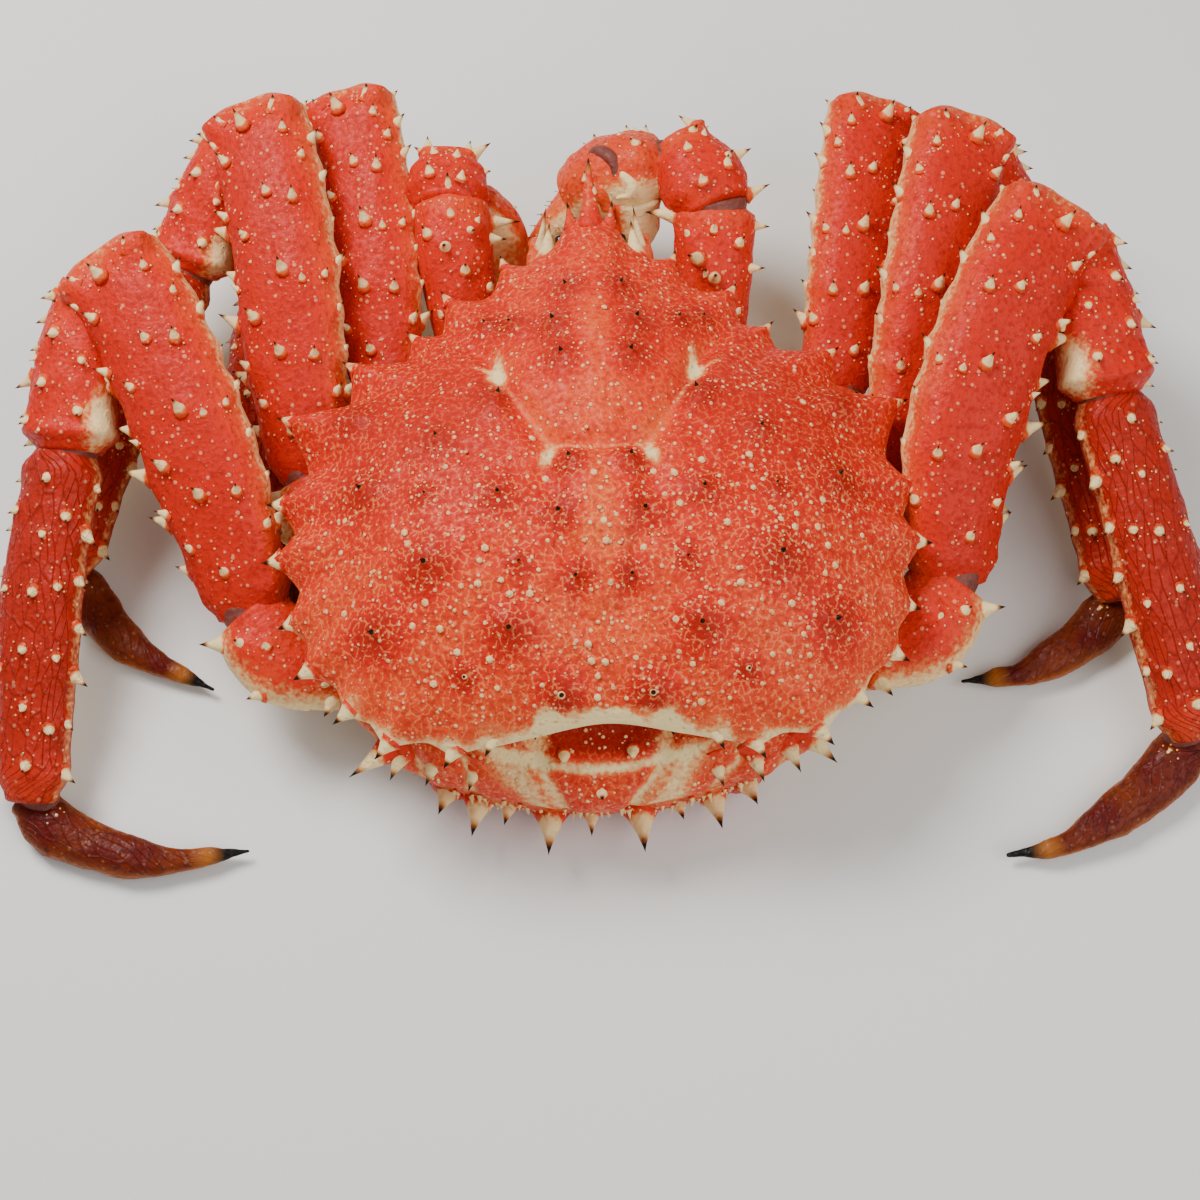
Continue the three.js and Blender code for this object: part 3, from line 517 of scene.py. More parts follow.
random.seed(11)
thorns = new_mesh()
knobs = []
for side in (-1, 1):
    for x, y, height in BACK_THORNS:
        root = Vector((x * side, y, shell_height(x * side, y) + 0.3 * height))
        lean = Vector((0.12 * side * rise(20, 70, x), 0.22, 0))
        out = shell_outward(root.x, y)
        aim = (out + lean).normalized()
        pale = 0.9 * rise(54, 60, -y)
        thorn(thorns, root, root + aim * 0.62 * height, height * 0.34, cream=pale, black=1.4, warm=-0.35)
        for k in range(GRAINS_ROUND_THORN):
            turn = k * math.tau / GRAINS_ROUND_THORN + height
            far = height * random.uniform(0.75, 1.15)
            kx, ky = root.x + far * math.cos(turn), y + far * math.sin(turn)
            swell = thorn_swelling(kx, ky)[0]
            spot = Vector((kx, ky, shell_height(kx, ky) + swell + 0.05))
            knobs.append((spot, out, random.choice((0.26, 0.36)), 0.55))
    for x, y, z, radius in RIM_THORNS:
        tip = rim_tip(x, y, z, side)
        inward = Vector((SHELL_CENTRE.x - tip.x, SHELL_CENTRE.y - tip.y, 0)).normalized()
        rear, hind = rise(-30, 20, -y), rise(40, 64, -y)
        root = tip + inward * (LOBE_TIP + 2.4) + Vector((0, 0, 0.9 * hind - 0.4))
        tip -= inward * 1.6 * hind
        wide = 1.6 + 0.1 * radius + 1.2 * rear
        thorn(thorns, root, tip, wide, cream=0.55 + 0.45 * rear, flat=0.85, black=1.12)
places = []
while len(places) < BACK_KNOBS:
    x, y = random.uniform(-80, 80), random.uniform(-70, 40)
    away = Vector((x, y, 0)) - SHELL_CENTRE
    share = away.length / rim_reach(math.atan2(away.y, away.x))
    if share > 0.94 or random.random() > 0.12 + 0.88 * rise(-14, 40, -y):
        continue
    if all((x - kx) ** 2 + (y - ky) ** 2 > KNOB_GAP_SQUARED for kx, ky in places):
        places.append((x, y))
        size = random.choice((0.5, 0.6, 0.7, 0.9, 1.15))
        spot = Vector((x, y, shell_height(x, y) + 0.25))
        knobs.append((spot, shell_outward(x, y), size, 0.5 + 0.14 * size))
add_knobs(thorns, knobs)
# The spike of the brow, with two pale spinules on it, the points beside it and the scales of the feelers
root, tip = Vector((0, 74, 63)), Vector((0, 94, 69))
thorn(thorns, root, tip, 3.3, cream=0.25, black=0.94, around=14, rings=14, blunt=0.8)
for x, y, z in [(-1.2, 89, 70), (1.4, 85, 69.5)]:
    thorn(thorns, Vector((x, y - 1.6, z - 3.4)), Vector((x, y, z)), 1.1)
for side in (-1, 1):
    root, tip = Vector((5.4 * side, 75, 62)), Vector((6.4 * side, 81.5, 66.5))
    thorn(thorns, root, tip, 2.3, cream=0.2, black=1.1)
    root, tip = Vector((12.8 * side, 65, 58)), Vector((11.6 * side, 78.5, 60))
    thorn(thorns, root, tip, 4.3, cream=0.85, black=0.95)
join(back, thorns)
finished("back_shell", back, back_finish, "back_shell", "carapace")

# The walking legs: three pairs of jointed tubes of the same shell, folded forwards at the knee and
# back again at the wrist. The broad faces carry rows of cream thorns, and the undersides are pale.
ISCHIUM = [(0, 10, 9), (0.3, 12.5, 10), (0.75, 13.5, 10.5), (1, 10.5, 9)]
MERUS = [(0, 10, 7.5), (0.06, 13, 9), (0.4, 15, 10), (0.85, 15, 10.5), (0.96, 14, 10.4), (1, 10.6, 8)]
CARPUS = [(0, 7, 6.5), (0.15, 10.5, 9), (0.5, 11.5, 9.4), (0.9, 12.6, 10), (1, 9.5, 7.6)]
PROPODUS = [(0, 8, 7), (0.08, 10.6, 8.6), (0.5, 11.8, 9), (0.9, 10.4, 8.2), (1, 7, 6)]
DACTYL = [(0, 6, 4), (0.15, 7.8, 5.2), (0.45, 6.4, 5), (0.8, 3, 2.6), (1, 0.6, 0.6)]
COXA = [(0, 8, 8), (0.5, 11, 10), (1, 11, 9.5)]
# Rows of thorns: angle, how many, length, radius, first place and last place
ISCHIUM_ROWS = [(15, 3, 6, 3.2, 0.35, 0.92), (50, 2, 2.6, 2, 0.4, 0.85), (85, 2, 2.6, 2, 0.35, 0.75)]
MERUS_ROWS = [
    (4, 7, 7, 3, 0.14, 0.95), (34, 4, 4, 1.8, 0.3, 0.9), (62, 4, 4.6, 1.9, 0.2, 0.84),
    (92, 5, 5.2, 2.1, 0.12, 0.92), (122, 4, 4, 1.7, 0.3, 0.88), (152, 3, 3.6, 1.7, 0.2, 0.8),
    (177, 8, 4.6, 2.4, 0.2, 0.96), (60, 1, 3.6, 2.6, 0.955, 0.955), (120, 1, 3.4, 2.6, 0.95, 0.95),
]
CARPUS_ROWS = [
    (176, 6, 5.4, 2.7, 0.12, 0.95), (140, 3, 3.6, 2, 0.2, 0.85), (105, 4, 3.8, 2.1, 0.15, 0.9),
    (65, 3, 3.4, 2, 0.25, 0.8), (20, 3, 3.6, 2.2, 0.1, 0.6),
]
PROPODUS_ROWS = [
    (5, 7, 4.8, 2.6, 0.1, 0.92), (45, 4, 3, 1.9, 0.2, 0.8), (84, 6, 3.2, 2, 0.1, 0.9),
    (128, 4, 3, 1.8, 0.2, 0.85), (176, 7, 3.8, 2.2, 0.1, 0.92),
]
DACTYL_ROWS = [(80, 1, 1.8, 2, 0.14, 0.18)]
# The size of each leg against the rear left one, and the path of each of its lengths
LEGS = {
    "leg_rear_left": (1, [
        [(-62, -39, 24), (-86, -41, 28), (-98, -28, 33)],
        [(-97, -27, 33), (-110, 12, 53), (-124, 46, 62), (-136, 68, 65)],
        [(-138, 66, 59), (-145, 44, 53), (-148, 19, 44)],
        [(-149, 20, 43), (-157, -21, 30), (-161, -73, 11)],
        [(-163, -71, 7), (-152, -82, 5), (-127, -90, 4.6), (-102, -88, 4)],
    ]),
    "leg_rear_right": (1.04, [
        [(62, -39, 24), (86, -39, 28), (97, -25, 33)],
        [(97, -24, 33), (100, 6, 51), (112, 39, 62), (131, 75, 66)],
        [(135, 74, 60), (141, 51, 54), (145, 26, 45)],
        [(145, 27, 44), (156, -19, 31), (166, -65, 11)],
        [(167, -63, 7), (153, -78, 5), (129, -93, 4.6), (112, -96, 4)],
    ]),
    "leg_mid_left": (0.95, [
        [(-58, -8, 24), (-74, -3, 27), (-81, 13, 31)],
        [(-81, 14, 31), (-85, 43, 42), (-88, 76, 53), (-96, 120, 58)],
        [(-99, 117, 53), (-109, 100, 45), (-118, 81, 35)],
        [(-119, 82, 34), (-142, 38, 21), (-155, -3, 10)],
        [(-157, -1, 7), (-149, -11, 5), (-135, -27, 4.6), (-113, -39, 4)],
    ]),
    "leg_mid_right": (0.95, [
        [(58, -10, 24), (73, -7, 26), (84, 4, 30)],
        [(85, 5, 30), (93, 37, 42), (100, 69, 53), (109, 109, 58)],
        [(111, 106, 52), (121, 90, 44), (132, 69, 32)],
        [(132, 70, 31), (143, 22, 20), (150, -22, 10)],
        [(151, -20, 7), (141, -31, 5), (122, -42, 4.6), (104, -44, 4)],
    ]),
    "leg_front_left": (0.86, [
        [(-49, 20, 24), (-58, 27, 26), (-60, 41, 30)],
        [(-60, 42, 30), (-64, 82, 42), (-69.5, 130, 48)],
        [(-72, 128, 43), (-81, 115, 36), (-89, 97, 26)],
        [(-90, 97, 25), (-99, 57, 16), (-101, 10, 9)],
        [(-102, 12, 6), (-97, 0, 4.4), (-87, -16, 4), (-74, -25, 3.6)],
    ]),
    "leg_front_right": (0.86, [
        [(51, 17, 24), (65, 24, 26), (70, 37, 30)],
        [(70, 38, 30), (78, 77, 42), (85, 122, 48)],
        [(87, 118, 43), (96, 105, 36), (103, 88, 26)],
        [(103, 88, 25), (109, 48, 16), (109, 2, 9)],
        [(110, 4, 6), (105, -8, 4.4), (95, -24, 4), (82, -33, 3.6)],
    ]),
}


def scaled(sizes, by):
    return [(t, width * by, depth * by) for t, width, depth in sizes]


def near_turn(angle, middle, width):
    """1 at one angle round a limb, in degrees, and falling off on both sides of it."""
    return bell((angle - middle + 180) % 360 - 180, width)


def limb_form(path, sizes, side, up=(0, 0, 1), square=2.3):
    """A flattened tube along a path. Angle 0 is its outer edge, 90 its upper face, 180 its inner edge."""
    place, direction, length = smooth_line(path)

    def size(t):
        i = 1
        while i < len(sizes) - 1 and sizes[i][0] < t:
            i += 1
        (start, *small), (end, *large) = sizes[i - 1], sizes[i]
        share = rise(start, end, t)
        return [a + (b - a) * share for a, b in zip(small, large)]

    def axes(t):
        along = direction(t)
        broad = along.cross(Vector(up)).normalized()
        return along, broad * side, broad.cross(along)

    def corner(c):
        return math.copysign(abs(c) ** (2 / square), c)

    def skin(t, angle, shrink=1):
        _, broad, thin = axes(t)
        width, depth = size(t)
        turn = math.radians(angle)
        out = broad * (corner(math.cos(turn)) * width * shrink)
        return place(t) + out + thin * (corner(math.sin(turn)) * depth * shrink)

    def outward(t, angle):
        _, broad, thin = axes(t)
        width, depth = size(t)
        turn = math.radians(angle)
        return (broad * (math.cos(turn) / width) + thin * (math.sin(turn) / depth)).normalized()

    return SimpleNamespace(
        place=place, axes=axes, size=size, skin=skin, outward=outward, corner=corner, length=length
    )


def thorn_rows(form, rows):
    """Where a limb's rows of thorns stand: the place along it, the angle, root, tip and radius of each."""
    made = []
    for angle, count, length, radius, first, last in rows:
        for i in range(count):
            t = first + (last - first) * (i / (count - 1) if count > 1 else 0.5)
            swing = 1 + 0.28 * math.sin(i * 2.4 + angle)
            turned = angle + 5 * math.sin(i * 1.7 + angle)
            aim = (form.outward(t, turned) + form.axes(t)[0] * 0.6).normalized()
            root = form.skin(t, turned)
            made.append((t, turned, root, root + aim * length * swing, radius * (0.5 + swing / 2)))
    return made


CAP_RINGS = 3  # rings of the ball that round each end of a limb
CAP_BULGE = 1.2


def no_lumps(t, angle):
    return 0


def add_limb(mesh, form, marks, lumps=no_lumps, stands=(), around=56, rings=60):
    """Draws a ball out into a limb with rounded ends, raised a little round each of its thorns."""
    stations = []
    for k in range(rings + 1):
        t = min(1, max(0, (k - CAP_RINGS) / (rings - 2 * CAP_RINGS)))
        axes, middle = form.axes(t), form.place(t)
        near = [(root, radius) for root, radius in stands if abs((root - middle).dot(axes[0])) < 3 * radius]
        cap = min(k, rings - k, CAP_RINGS) / CAP_RINGS
        stations.append((t, cap, axes, form.size(t), middle, near))
    made = bmesh.ops.create_uvsphere(mesh, u_segments=around, v_segments=rings, radius=1)["verts"]
    for v in made:
        k = round(math.acos(max(-1, min(1, v.co.z))) / math.pi * rings)
        turn = math.atan2(v.co.y, v.co.x)
        angle = math.degrees(turn) % 360
        t, cap, (along, broad, thin), (width, depth), middle, near = stations[k]
        shrink = math.sin(cap * math.pi / 2) ** 0.7
        push = CAP_BULGE * math.cos(cap * math.pi / 2) * (1 if k > rings / 2 else -1)
        c, s = form.corner(math.cos(turn)), form.corner(math.sin(turn))
        base = middle + broad * (c * width) + thin * (s * depth)
        rough = 0.5 * noise.noise(base * 0.16) + 0.22 * noise.noise(base * 0.5)
        raised = lumps(t, angle) + rough
        for root, radius in near:
            far = (base - root).length
            if far < 3 * radius:
                raised += 0.34 * radius * bell(far, 1.35 * radius)
        section = broad * (c * (width + raised)) + thin * (s * (depth + raised))
        v.co = middle + section * shrink + along * push
        grain = Vector((math.radians((angle + 90) % 360) * width, t * form.length * 0.3, 0))
        mark(mesh, v, grain, **dict(zip(MARKS, marks(t, angle, form))))


GRAINS_ROUND_LIMB_THORN = 7
LIMB_KNOBS = (0.3, 0.4, 0.55)


def dress_limb(form, rows, count, placed=()):
    """The thorns of a limb, the grains round the larger ones, and small knobs between them."""
    loose = new_mesh()
    stands = thorn_rows(form, rows) + list(placed)
    knobs = []
    for t, angle, root, tip, radius in stands:
        tall = (tip - root).length
        thorn(loose, root, tip, radius, black=1.02 if tall > 3 else 0.85, warm=0.6, bare=0.2)
        if 20 < angle < 160:
            for k in range(GRAINS_ROUND_LIMB_THORN):
                turn = k * math.tau / GRAINS_ROUND_LIMB_THORN + radius
                spot_t = t + math.sin(turn) * 1.5 * radius / form.length
                spot_angle = angle + math.degrees(math.cos(turn) * 1.5 * radius / form.size(t)[0])
                spot = form.skin(min(1, max(0, spot_t)), spot_angle)
                out = form.outward(t, angle)
                knobs.append((spot + out * 0.2, out, random.choice((0.26, 0.34)), 0.6))
    for _ in range(count):
        t, angle = random.uniform(0.04, 0.96), random.uniform(-15, 195)
        root = form.skin(t, angle)
        if all((root - other[2]).length > 1.8 * other[4] for other in stands):
            knobs.append((root, form.outward(t, angle), random.choice(LIMB_KNOBS), 0.62))
    add_knobs(loose, knobs)
    return loose, [(root, radius) for _, _, root, _, radius in stands]


def under(angle):
    return rise(0.3, 0.9, -math.sin(math.radians(angle)))


def ischium_marks(t, angle, form):
    hind = near_turn(angle, 0, 42) * rise(0.1, 0.4, t)
    return max(under(angle), 0.75 * hind), 0, 0.2 * hind, 0


def merus_marks(t, angle, form):
    ridge = 0.62 * near_turn(angle, 184, 17) * rise(0.05, 0.3, t)
    knee = 0.35 * near_turn(angle, 90, 60) * rise(0.93, 1, t)
    warm = 0.5 * near_turn(angle, 165, 28) + 0.4 * rise(0.85, 1, t) + 0.3 * near_turn(angle, 8, 20)
    return max(0.8 * under(angle), ridge, knee), 0, warm - 0.25, 0


def merus_lumps(t, angle):
    humps = near_turn(angle, 38, 26) + near_turn(angle, 142, 26) - 0.7 * near_turn(angle, 90, 22)
    ridge = near_turn(angle, 180, 16) * rise(0.1, 0.4, t) * (0.6 + 0.8 * math.sin(t * 26) ** 2)
    return 3 * humps * bell(t - 0.96, 0.04) + 1.1 * ridge


def carpus_marks(t, angle, form):
    patch = near_turn(angle, 22, 30) * bell(t - 0.84, 0.17)
    return max(0.8 * under(angle), patch), 0, 0.3 * bell(t - 0.1, 0.2) - 0.15, 0


def carpus_lumps(t, angle):
    return 1.2 * bell(t - 0.93, 0.05) + 1.4 * near_turn(angle, 30, 24) * bell(t - 0.88, 0.06)


def propodus_marks(t, angle, form):
    return max(0.75 * under(angle), 0.4 * near_turn(angle, 0, 16)), 0, -0.35 + 0.5 * rise(0.8, 1, t), 0


def propodus_lumps(t, angle):
    return 0.8 * bell(t - 0.06, 0.04) + 0.7 * bell(t - 0.95, 0.03)


def dactyl_marks(t, angle, form):
    edge = max(near_turn(angle, 0, 28), near_turn(angle, 180, 28))
    return 0.2 * edge * rise(0.1, 0.4, t), 1.008 * rise(0.1, 1.15, t), 0.8 * edge, 0


def no_marks(t, angle, form):
    return 0, 0, 0, 0


leg_finish = crab_shell("boiled_leg_shell", "#D8260E", "#EC5C24", "#921408", veins=0.24, dots=0.5)
vein_finish = crab_shell("boiled_veined_shell", "#C2260F", "#DE5024", "#741006", veins=0.5, dots=0.3)
horn_finish = crab_shell("horny_claw", "#5A0E06", "#A65212", "#300805", veins=0.3, dots=0.1, rough=0.45)


FOLD_GAP = 2.2
FOLD_HEIGHT = 0.8


def skin_finish(name, colour, fold, rough):
    """The soft skin between two lengths of shell: thin, dull and mauve brown, with fine folds."""
    material = empty_material(name)
    tree = material.node_tree
    place = add_node(tree, "ShaderNodeTexCoord", out="Object")
    folds = add_node(
        tree, "ShaderNodeTexNoise", {"Vector": place, "Scale": 1 / (FOLD_GAP * MM), "Detail": 3.0}
    )
    shade = add_node(
        tree, "ShaderNodeMix", {0: folds, 6: linear(colour), 7: linear(fold)}, out=2, data_type="RGBA"
    )
    height = add_node(tree, "ShaderNodeMath", {0: folds, 1: FOLD_HEIGHT * MM}, operation="MULTIPLY")
    relief = add_node(tree, "ShaderNodeBump", {"Height": height, "Distance": 1.0, "Strength": 1.0})
    inputs = {"Base Color": shade, "Roughness": rough, "Normal": relief}
    surface = add_node(tree, "ShaderNodeBsdfPrincipled", inputs)
    add_node(tree, "ShaderNodeOutputMaterial", {"Surface": surface})
    return material


membrane_finish = skin_finish("joint_skin", "#4C1712", "#8E4636", 0.6)


def add_joint(mesh, first, second, at_first, at_second, share):
    """The soft skin that joins two lengths of a limb, inside their rims."""
    a, b = first.place(at_first), second.place(at_second)
    (w1, d1), (w2, d2) = first.size(0.9), second.size(0.15)
    sizes = [(0, share * w1, share * d1), (1, share * w2, share * d2)]
    skin = limb_form([a, (a + b) / 2, b], sizes, 1, up=first.axes(0.9)[2])
    add_limb(mesh, skin, no_marks, around=28, rings=16)


coxae = []
for name, (size, paths) in LEGS.items():
    side = -1 if name.endswith("left") else 1
    up = (0.3 * side, -0.2, 1)
    hip = Vector(paths[0][0])
    coxae.append(limb_form([(hip.x * 0.5, hip.y * 0.7, 22), hip], scaled(COXA, size), side))
    forms = [
        limb_form(paths[0], scaled(ISCHIUM, size), side),
        limb_form(paths[1], scaled(MERUS, size), side, up, square=2.6),
        limb_form(paths[2], scaled(CARPUS, size), side, up),
        limb_form(paths[3], scaled(PROPODUS, size), side, up),
        limb_form(paths[4], scaled(DACTYL, size), side),
    ]
    parts = [
        ("ischium", ISCHIUM_ROWS, 14, ischium_marks, no_lumps, leg_finish),
        ("merus", MERUS_ROWS, 44, merus_marks, merus_lumps, leg_finish),
        ("carpus", CARPUS_ROWS, 26, carpus_marks, carpus_lumps, leg_finish),
        ("propodus", PROPODUS_ROWS, 36, propodus_marks, propodus_lumps, vein_finish),
        ("dactyl", DACTYL_ROWS, 0, dactyl_marks, no_lumps, horn_finish),
    ]
    for form, (part, rows, count, marks, lumps, finish) in zip(forms, parts):
        length = new_mesh()
        loose, stands = dress_limb(form, rows, count)
        add_limb(length, form, marks, lumps, stands)
        join(length, loose)
        slot = "claw_tip_shell" if part == "dactyl" else "leg_shell"
        finished(f"{name}_{part}_shell", length, finish, slot, f"{name}_{part}")
    skins = new_mesh()
    add_joint(skins, forms[0], forms[1], 0.8, 0.06, 0.74)
    add_joint(skins, forms[1], forms[2], 0.92, 0.14, 0.7)
    add_joint(skins, forms[2], forms[3], 0.86, 0.06, 0.76)
    add_joint(skins, forms[3], forms[4], 0.92, 0.1, 0.7)
    finished(f"{name}_joint_skin", skins, membrane_finish, "leg_shell")

# The claw arms, shorter and stouter than the legs. The right hand is the larger and hangs over the
# face; its inner face and its fingers are bare cream lime.
ARM_ISCHIUM = [(0, 8, 7.5), (0.4, 9.5, 9), (1, 8, 8)]
ARM_MERUS = [(0, 8, 8), (0.15, 10.5, 9.5), (0.7, 11.5, 10.5), (0.93, 11, 10), (1, 8, 7.5)]
ARM_CARPUS = [(0, 10, 9), (0.25, 13, 11), (0.6, 11.8, 10.5), (1, 7.5, 7.5)]
PALM = [(0, 7, 7), (0.2, 12, 10.5), (0.6, 14, 11.5), (0.9, 12.5, 10.5), (1, 9.5, 8.5)]
FINGER = [(0, 5.4, 5.4), (0.3, 5.8, 5.4), (0.7, 4.2, 4), (1, 1.4, 1.4)]
# Thorns: the tip, the length and the radius of the root
ARMS = {
    "arm_left": SimpleNamespace(
        size=0.97, palm_size=0.84, palm_up=(0, 0.8, -0.6), spread=(5, 1, 0), hip=(-30, 34, 25),
        merus=[(-35, 52, 29), (-39.5, 78, 42), (-40.5, 95, 48)],
        carpus=[(-41.5, 91, 48), (-41, 108, 46)],
        palm=[(-38, 97, 42), (-31, 93, 31), (-28, 83, 22)],
        finger=[(-28.5, 88, 25), (-28, 77, 13), (-24, 68, 8)],
        merus_thorns=[
            (-20, 88, 45, 8, 3), (-24, 81, 47, 5, 2.6), (-40.5, 96, 60.5, 4, 2.4), (-42, 74, 57, 4, 2.4),
            (-33, 79, 56, 3, 2),
        ],
        carpus_thorns=[
            (-50.7, 110, 52, 5, 2.4), (-46.7, 115, 50, 6, 2.8), (-34, 113, 50, 5, 2.6),
            (-28, 112, 50, 7, 3), (-28, 101.6, 51, 4, 2.2),
        ],
        palm_thorns=[(-21, 98, 37, 4, 2.2), (-17, 91, 27, 3, 2)],
    ),
    "arm_right": SimpleNamespace(
        size=1, palm_size=1, palm_up=(0, 1, 1), spread=(-1.5, -4, 3), hip=(31, 33, 25),
        merus=[(34, 50, 29), (36, 78, 43), (37, 89, 50)],
        carpus=[(37, 87, 50), (27, 109, 51)],
        palm=[(23, 101, 48), (10, 103.5, 45), (-2, 103, 33)],
        finger=[(1, 103, 36), (-11, 99, 21), (-19, 90, 11)],
        merus_thorns=[
            (16, 87, 50, 11, 4), (52.5, 82, 48, 5, 2.6), (50.5, 69, 47, 5, 2.4), (27, 66, 61, 4, 2.6),
            (35, 60, 60, 3.4, 2.4),
        ],
        carpus_thorns=[
            (27, 117, 54, 6, 2.8), (32, 108.5, 62, 6, 2.8), (36, 113, 54, 5, 2.4), (42, 99.7, 62, 5, 2.6),
            (48, 105, 54, 6, 3), (53, 94, 52, 5, 2.6),
        ],
        palm_thorns=[
            (17.7, 117, 50, 4.4, 2.4), (11.8, 117, 50, 4.4, 2.4), (2.2, 115.5, 48, 4.4, 2.6),
            (9.5, 111, 56, 3, 2.2),
        ],
    ),
}


NEAREST_STEPS = 24


def placed_thorns(form, rows):
    """Thorns given by their tips, each standing on the skin and pointing straight out of the limb."""
    made = []
    for x, y, z, length, radius in rows:
        tip = Vector((x, y, z))
        steps = [k / NEAREST_STEPS for k in range(NEAREST_STEPS + 1)]
        t = min(steps, key=lambda share: (form.place(share) - tip).length)
        away = tip - form.place(t)
        broad, thin = form.axes(t)[1:]
        width, depth = form.size(t)
        turn = math.degrees(math.atan2(away.dot(thin) / depth, away.dot(broad) / width))
        made.append((t, turn, form.skin(t, turn, shrink=0.94), tip, radius))
    return made


def arm_marks(t, angle, form):
    return 0.8 * under(angle), 0, 0.35 * rise(0.7, 1, t) - 0.1, 0


def palm_marks(t, angle, form):
    away = form.outward(t, angle)
    bare = rise(0.3, 0.85, -0.9 * away.y + 0.25 * away.x) + 0.8 * rise(0.2, 0.8, -away.z)
    return min(1, bare), 0, 0.4 + 0.3 * rise(0.5, 1, t), 0


def finger_marks(t, angle, form):
    return 0.95 - 0.85 * near_turn(angle, 60, 50) * (1 - rise(0.6, 0.95, t)), 0.74 * rise(0.9, 1, t), 0.9, 0


def knuckle_marks(t, angle, form):
    return 0.1, 0, 0.5, 0


def hook_marks(t, angle, form):
    return 1, 0.5 * t, 0.2, 0


HINGE = [(0, 1, 1), (0.5, 2, 1.8), (1, 1.2, 1)]
HEEL = [(0, 8, 8), (0.5, 7, 7), (1, 4, 4)]
KNUCKLE = [(0, 5, 4.4), (0.5, 5, 4.6), (1, 3.2, 3)]
HOOK = [(0, 1.9, 1.7), (0.5, 1.6, 1.5), (1, 0.5, 0.5)]
ARM_MERUS_ROWS = [(55, 2, 3, 2, 0.3, 0.75), (95, 3, 3.2, 2.2, 0.2, 0.85), (135, 2, 3, 2, 0.4, 0.8)]
ARM_CARPUS_ROWS = [(70, 2, 3, 2, 0.3, 0.8), (110, 2, 3, 2.1, 0.2, 0.7)]
PALM_ROWS = [(75, 2, 2.4, 1.8, 0.3, 0.7), (115, 2, 2.4, 1.8, 0.25, 0.75)]
TEETH = 6
TOOTH_FIRST, TOOTH_STEP = 0.3, 0.11  # along the finger
BRISTLE_TURNS = (50, 90, 130)
BRISTLE_LENGTH = 2.2

for name, arm in ARMS.items():
    side = -1 if name.endswith("left") else 1
    coxae.append(limb_form([(arm.hip[0] * 0.5, arm.hip[1] * 0.7, 22), arm.hip], scaled(COXA, 0.85), side))
    ischium = limb_form([arm.hip, arm.merus[0]], ARM_ISCHIUM, side)
    merus = limb_form(arm.merus, scaled(ARM_MERUS, arm.size), side)
    carpus = limb_form(arm.carpus, scaled(ARM_CARPUS, arm.size), side, (0, 0.5, 1))
    palm = limb_form(arm.palm, scaled(PALM, arm.palm_size), side, arm.palm_up)
    fingers = []
    for sign in (-1, 1):
        line = [Vector(p) + Vector(arm.spread) * sign * by for p, by in zip(arm.finger, (1, 1.1, 0.4))]
        fingers.append(limb_form(line, scaled(FINGER, arm.palm_size), side))
    lengths = [
        ("ischium", ischium, [], [], arm_marks, [ischium]),
        ("merus", merus, ARM_MERUS_ROWS, arm.merus_thorns, arm_marks, [merus]),
        ("carpus", carpus, ARM_CARPUS_ROWS, arm.carpus_thorns, arm_marks, [carpus]),
        ("palm", palm, PALM_ROWS, arm.palm_thorns, palm_marks, [palm, fingers[0]]),
        ("finger", fingers[1], [], [], finger_marks, [fingers[1]]),
    ]
    for part, form, rows, tips, marks, bodies in lengths:
        length = new_mesh()
        count = 14 if rows else 0
        loose, stands = dress_limb(form, rows, count, placed=placed_thorns(form, tips))
        for body in bodies:
            marks_here = finger_marks if body in fingers else marks
            add_limb(length, body, marks_here, stands=stands, around=48, rings=40)
        if part in ("palm", "finger"):
            for k in range(TEETH):
                t = TOOTH_FIRST + TOOTH_STEP * k
                tooth = fingers[part == "finger"]
                angle = 0 if (part == "palm") == (side > 0) else 180
                knob(loose, tooth.skin(t, angle), tooth.outward(t, angle), 1.5 - 0.14 * k)
                for turn in BRISTLE_TURNS:
                    root = tooth.skin(t, turn)
                    hair = (tooth.outward(t, turn) + tooth.axes(t)[0] * 0.8).normalized() * BRISTLE_LENGTH
                    thorn(loose, root, root + hair, 0.3, black=1.6, around=5, rings=4)
        if part == "palm" and side > 0:
            # The heel of the hand, the root of its moving finger and the hooked tooth by the hinge
            heel = limb_form([(13.4, 96, 44), (13.9, 91, 36), (13.9, 87.7, 29)], HEEL, 1)
            add_limb(loose, heel, palm_marks, around=32, rings=24)
            knuckle = limb_form([(2, 101, 48), (4.5, 96.5, 48.5), (6.5, 92, 45)], KNUCKLE, 1)
            add_limb(loose, knuckle, knuckle_marks, around=32, rings=24)
            hook = limb_form([(10.4, 97, 55), (12.8, 94, 54), (11.8, 91.6, 52), (9, 91.4, 51)], HOOK, 1)
            add_limb(loose, hook, hook_marks, around=16, rings=24)
        join(length, loose)
        slot = "pale_shell" if part == "finger" else "leg_shell"
        finished(f"{name}_{part}_shell", length, leg_finish, slot, f"{name}_{part}")
    skins = new_mesh()
    if side > 0:
        # The hinge of the hand that hangs over the brow is an arc of skin
        arc = limb_form(
            [(0, 104.8, 52), (2.9, 104.8, 54.8), (6.3, 102, 56.7), (7.9, 98.5, 56), (7.6, 95.2, 53.4)],
            HINGE,
            1,
        )
        add_limb(skins, arc, no_marks, around=20, rings=36)
    add_joint(skins, merus, carpus, 0.9, 0.1, 0.84)
    add_joint(skins, carpus, palm, 0.8, 0.2, 0.74)
    add_joint(skins, palm, fingers[1], 0.9, 0.1, 0.8)
    finished(f"{name}_joint_skin", skins, membrane_finish, "leg_shell")

# The trunk under the back shell: a bowl of pale plates of lime, with the face in front and the hips
# round it. The back shell sits on it like a lid, and the whole animal rests on its flat belly.
THORAX = SimpleNamespace(half_length=62, half_width=60, centre_y=-1, floor=8.3)
FACE = limb_form([(0, 40, 30), (0, 58, 40), (0, 68, 45)], [(0, 20, 12), (0.6, 20, 11), (1, 15, 7)], 1)


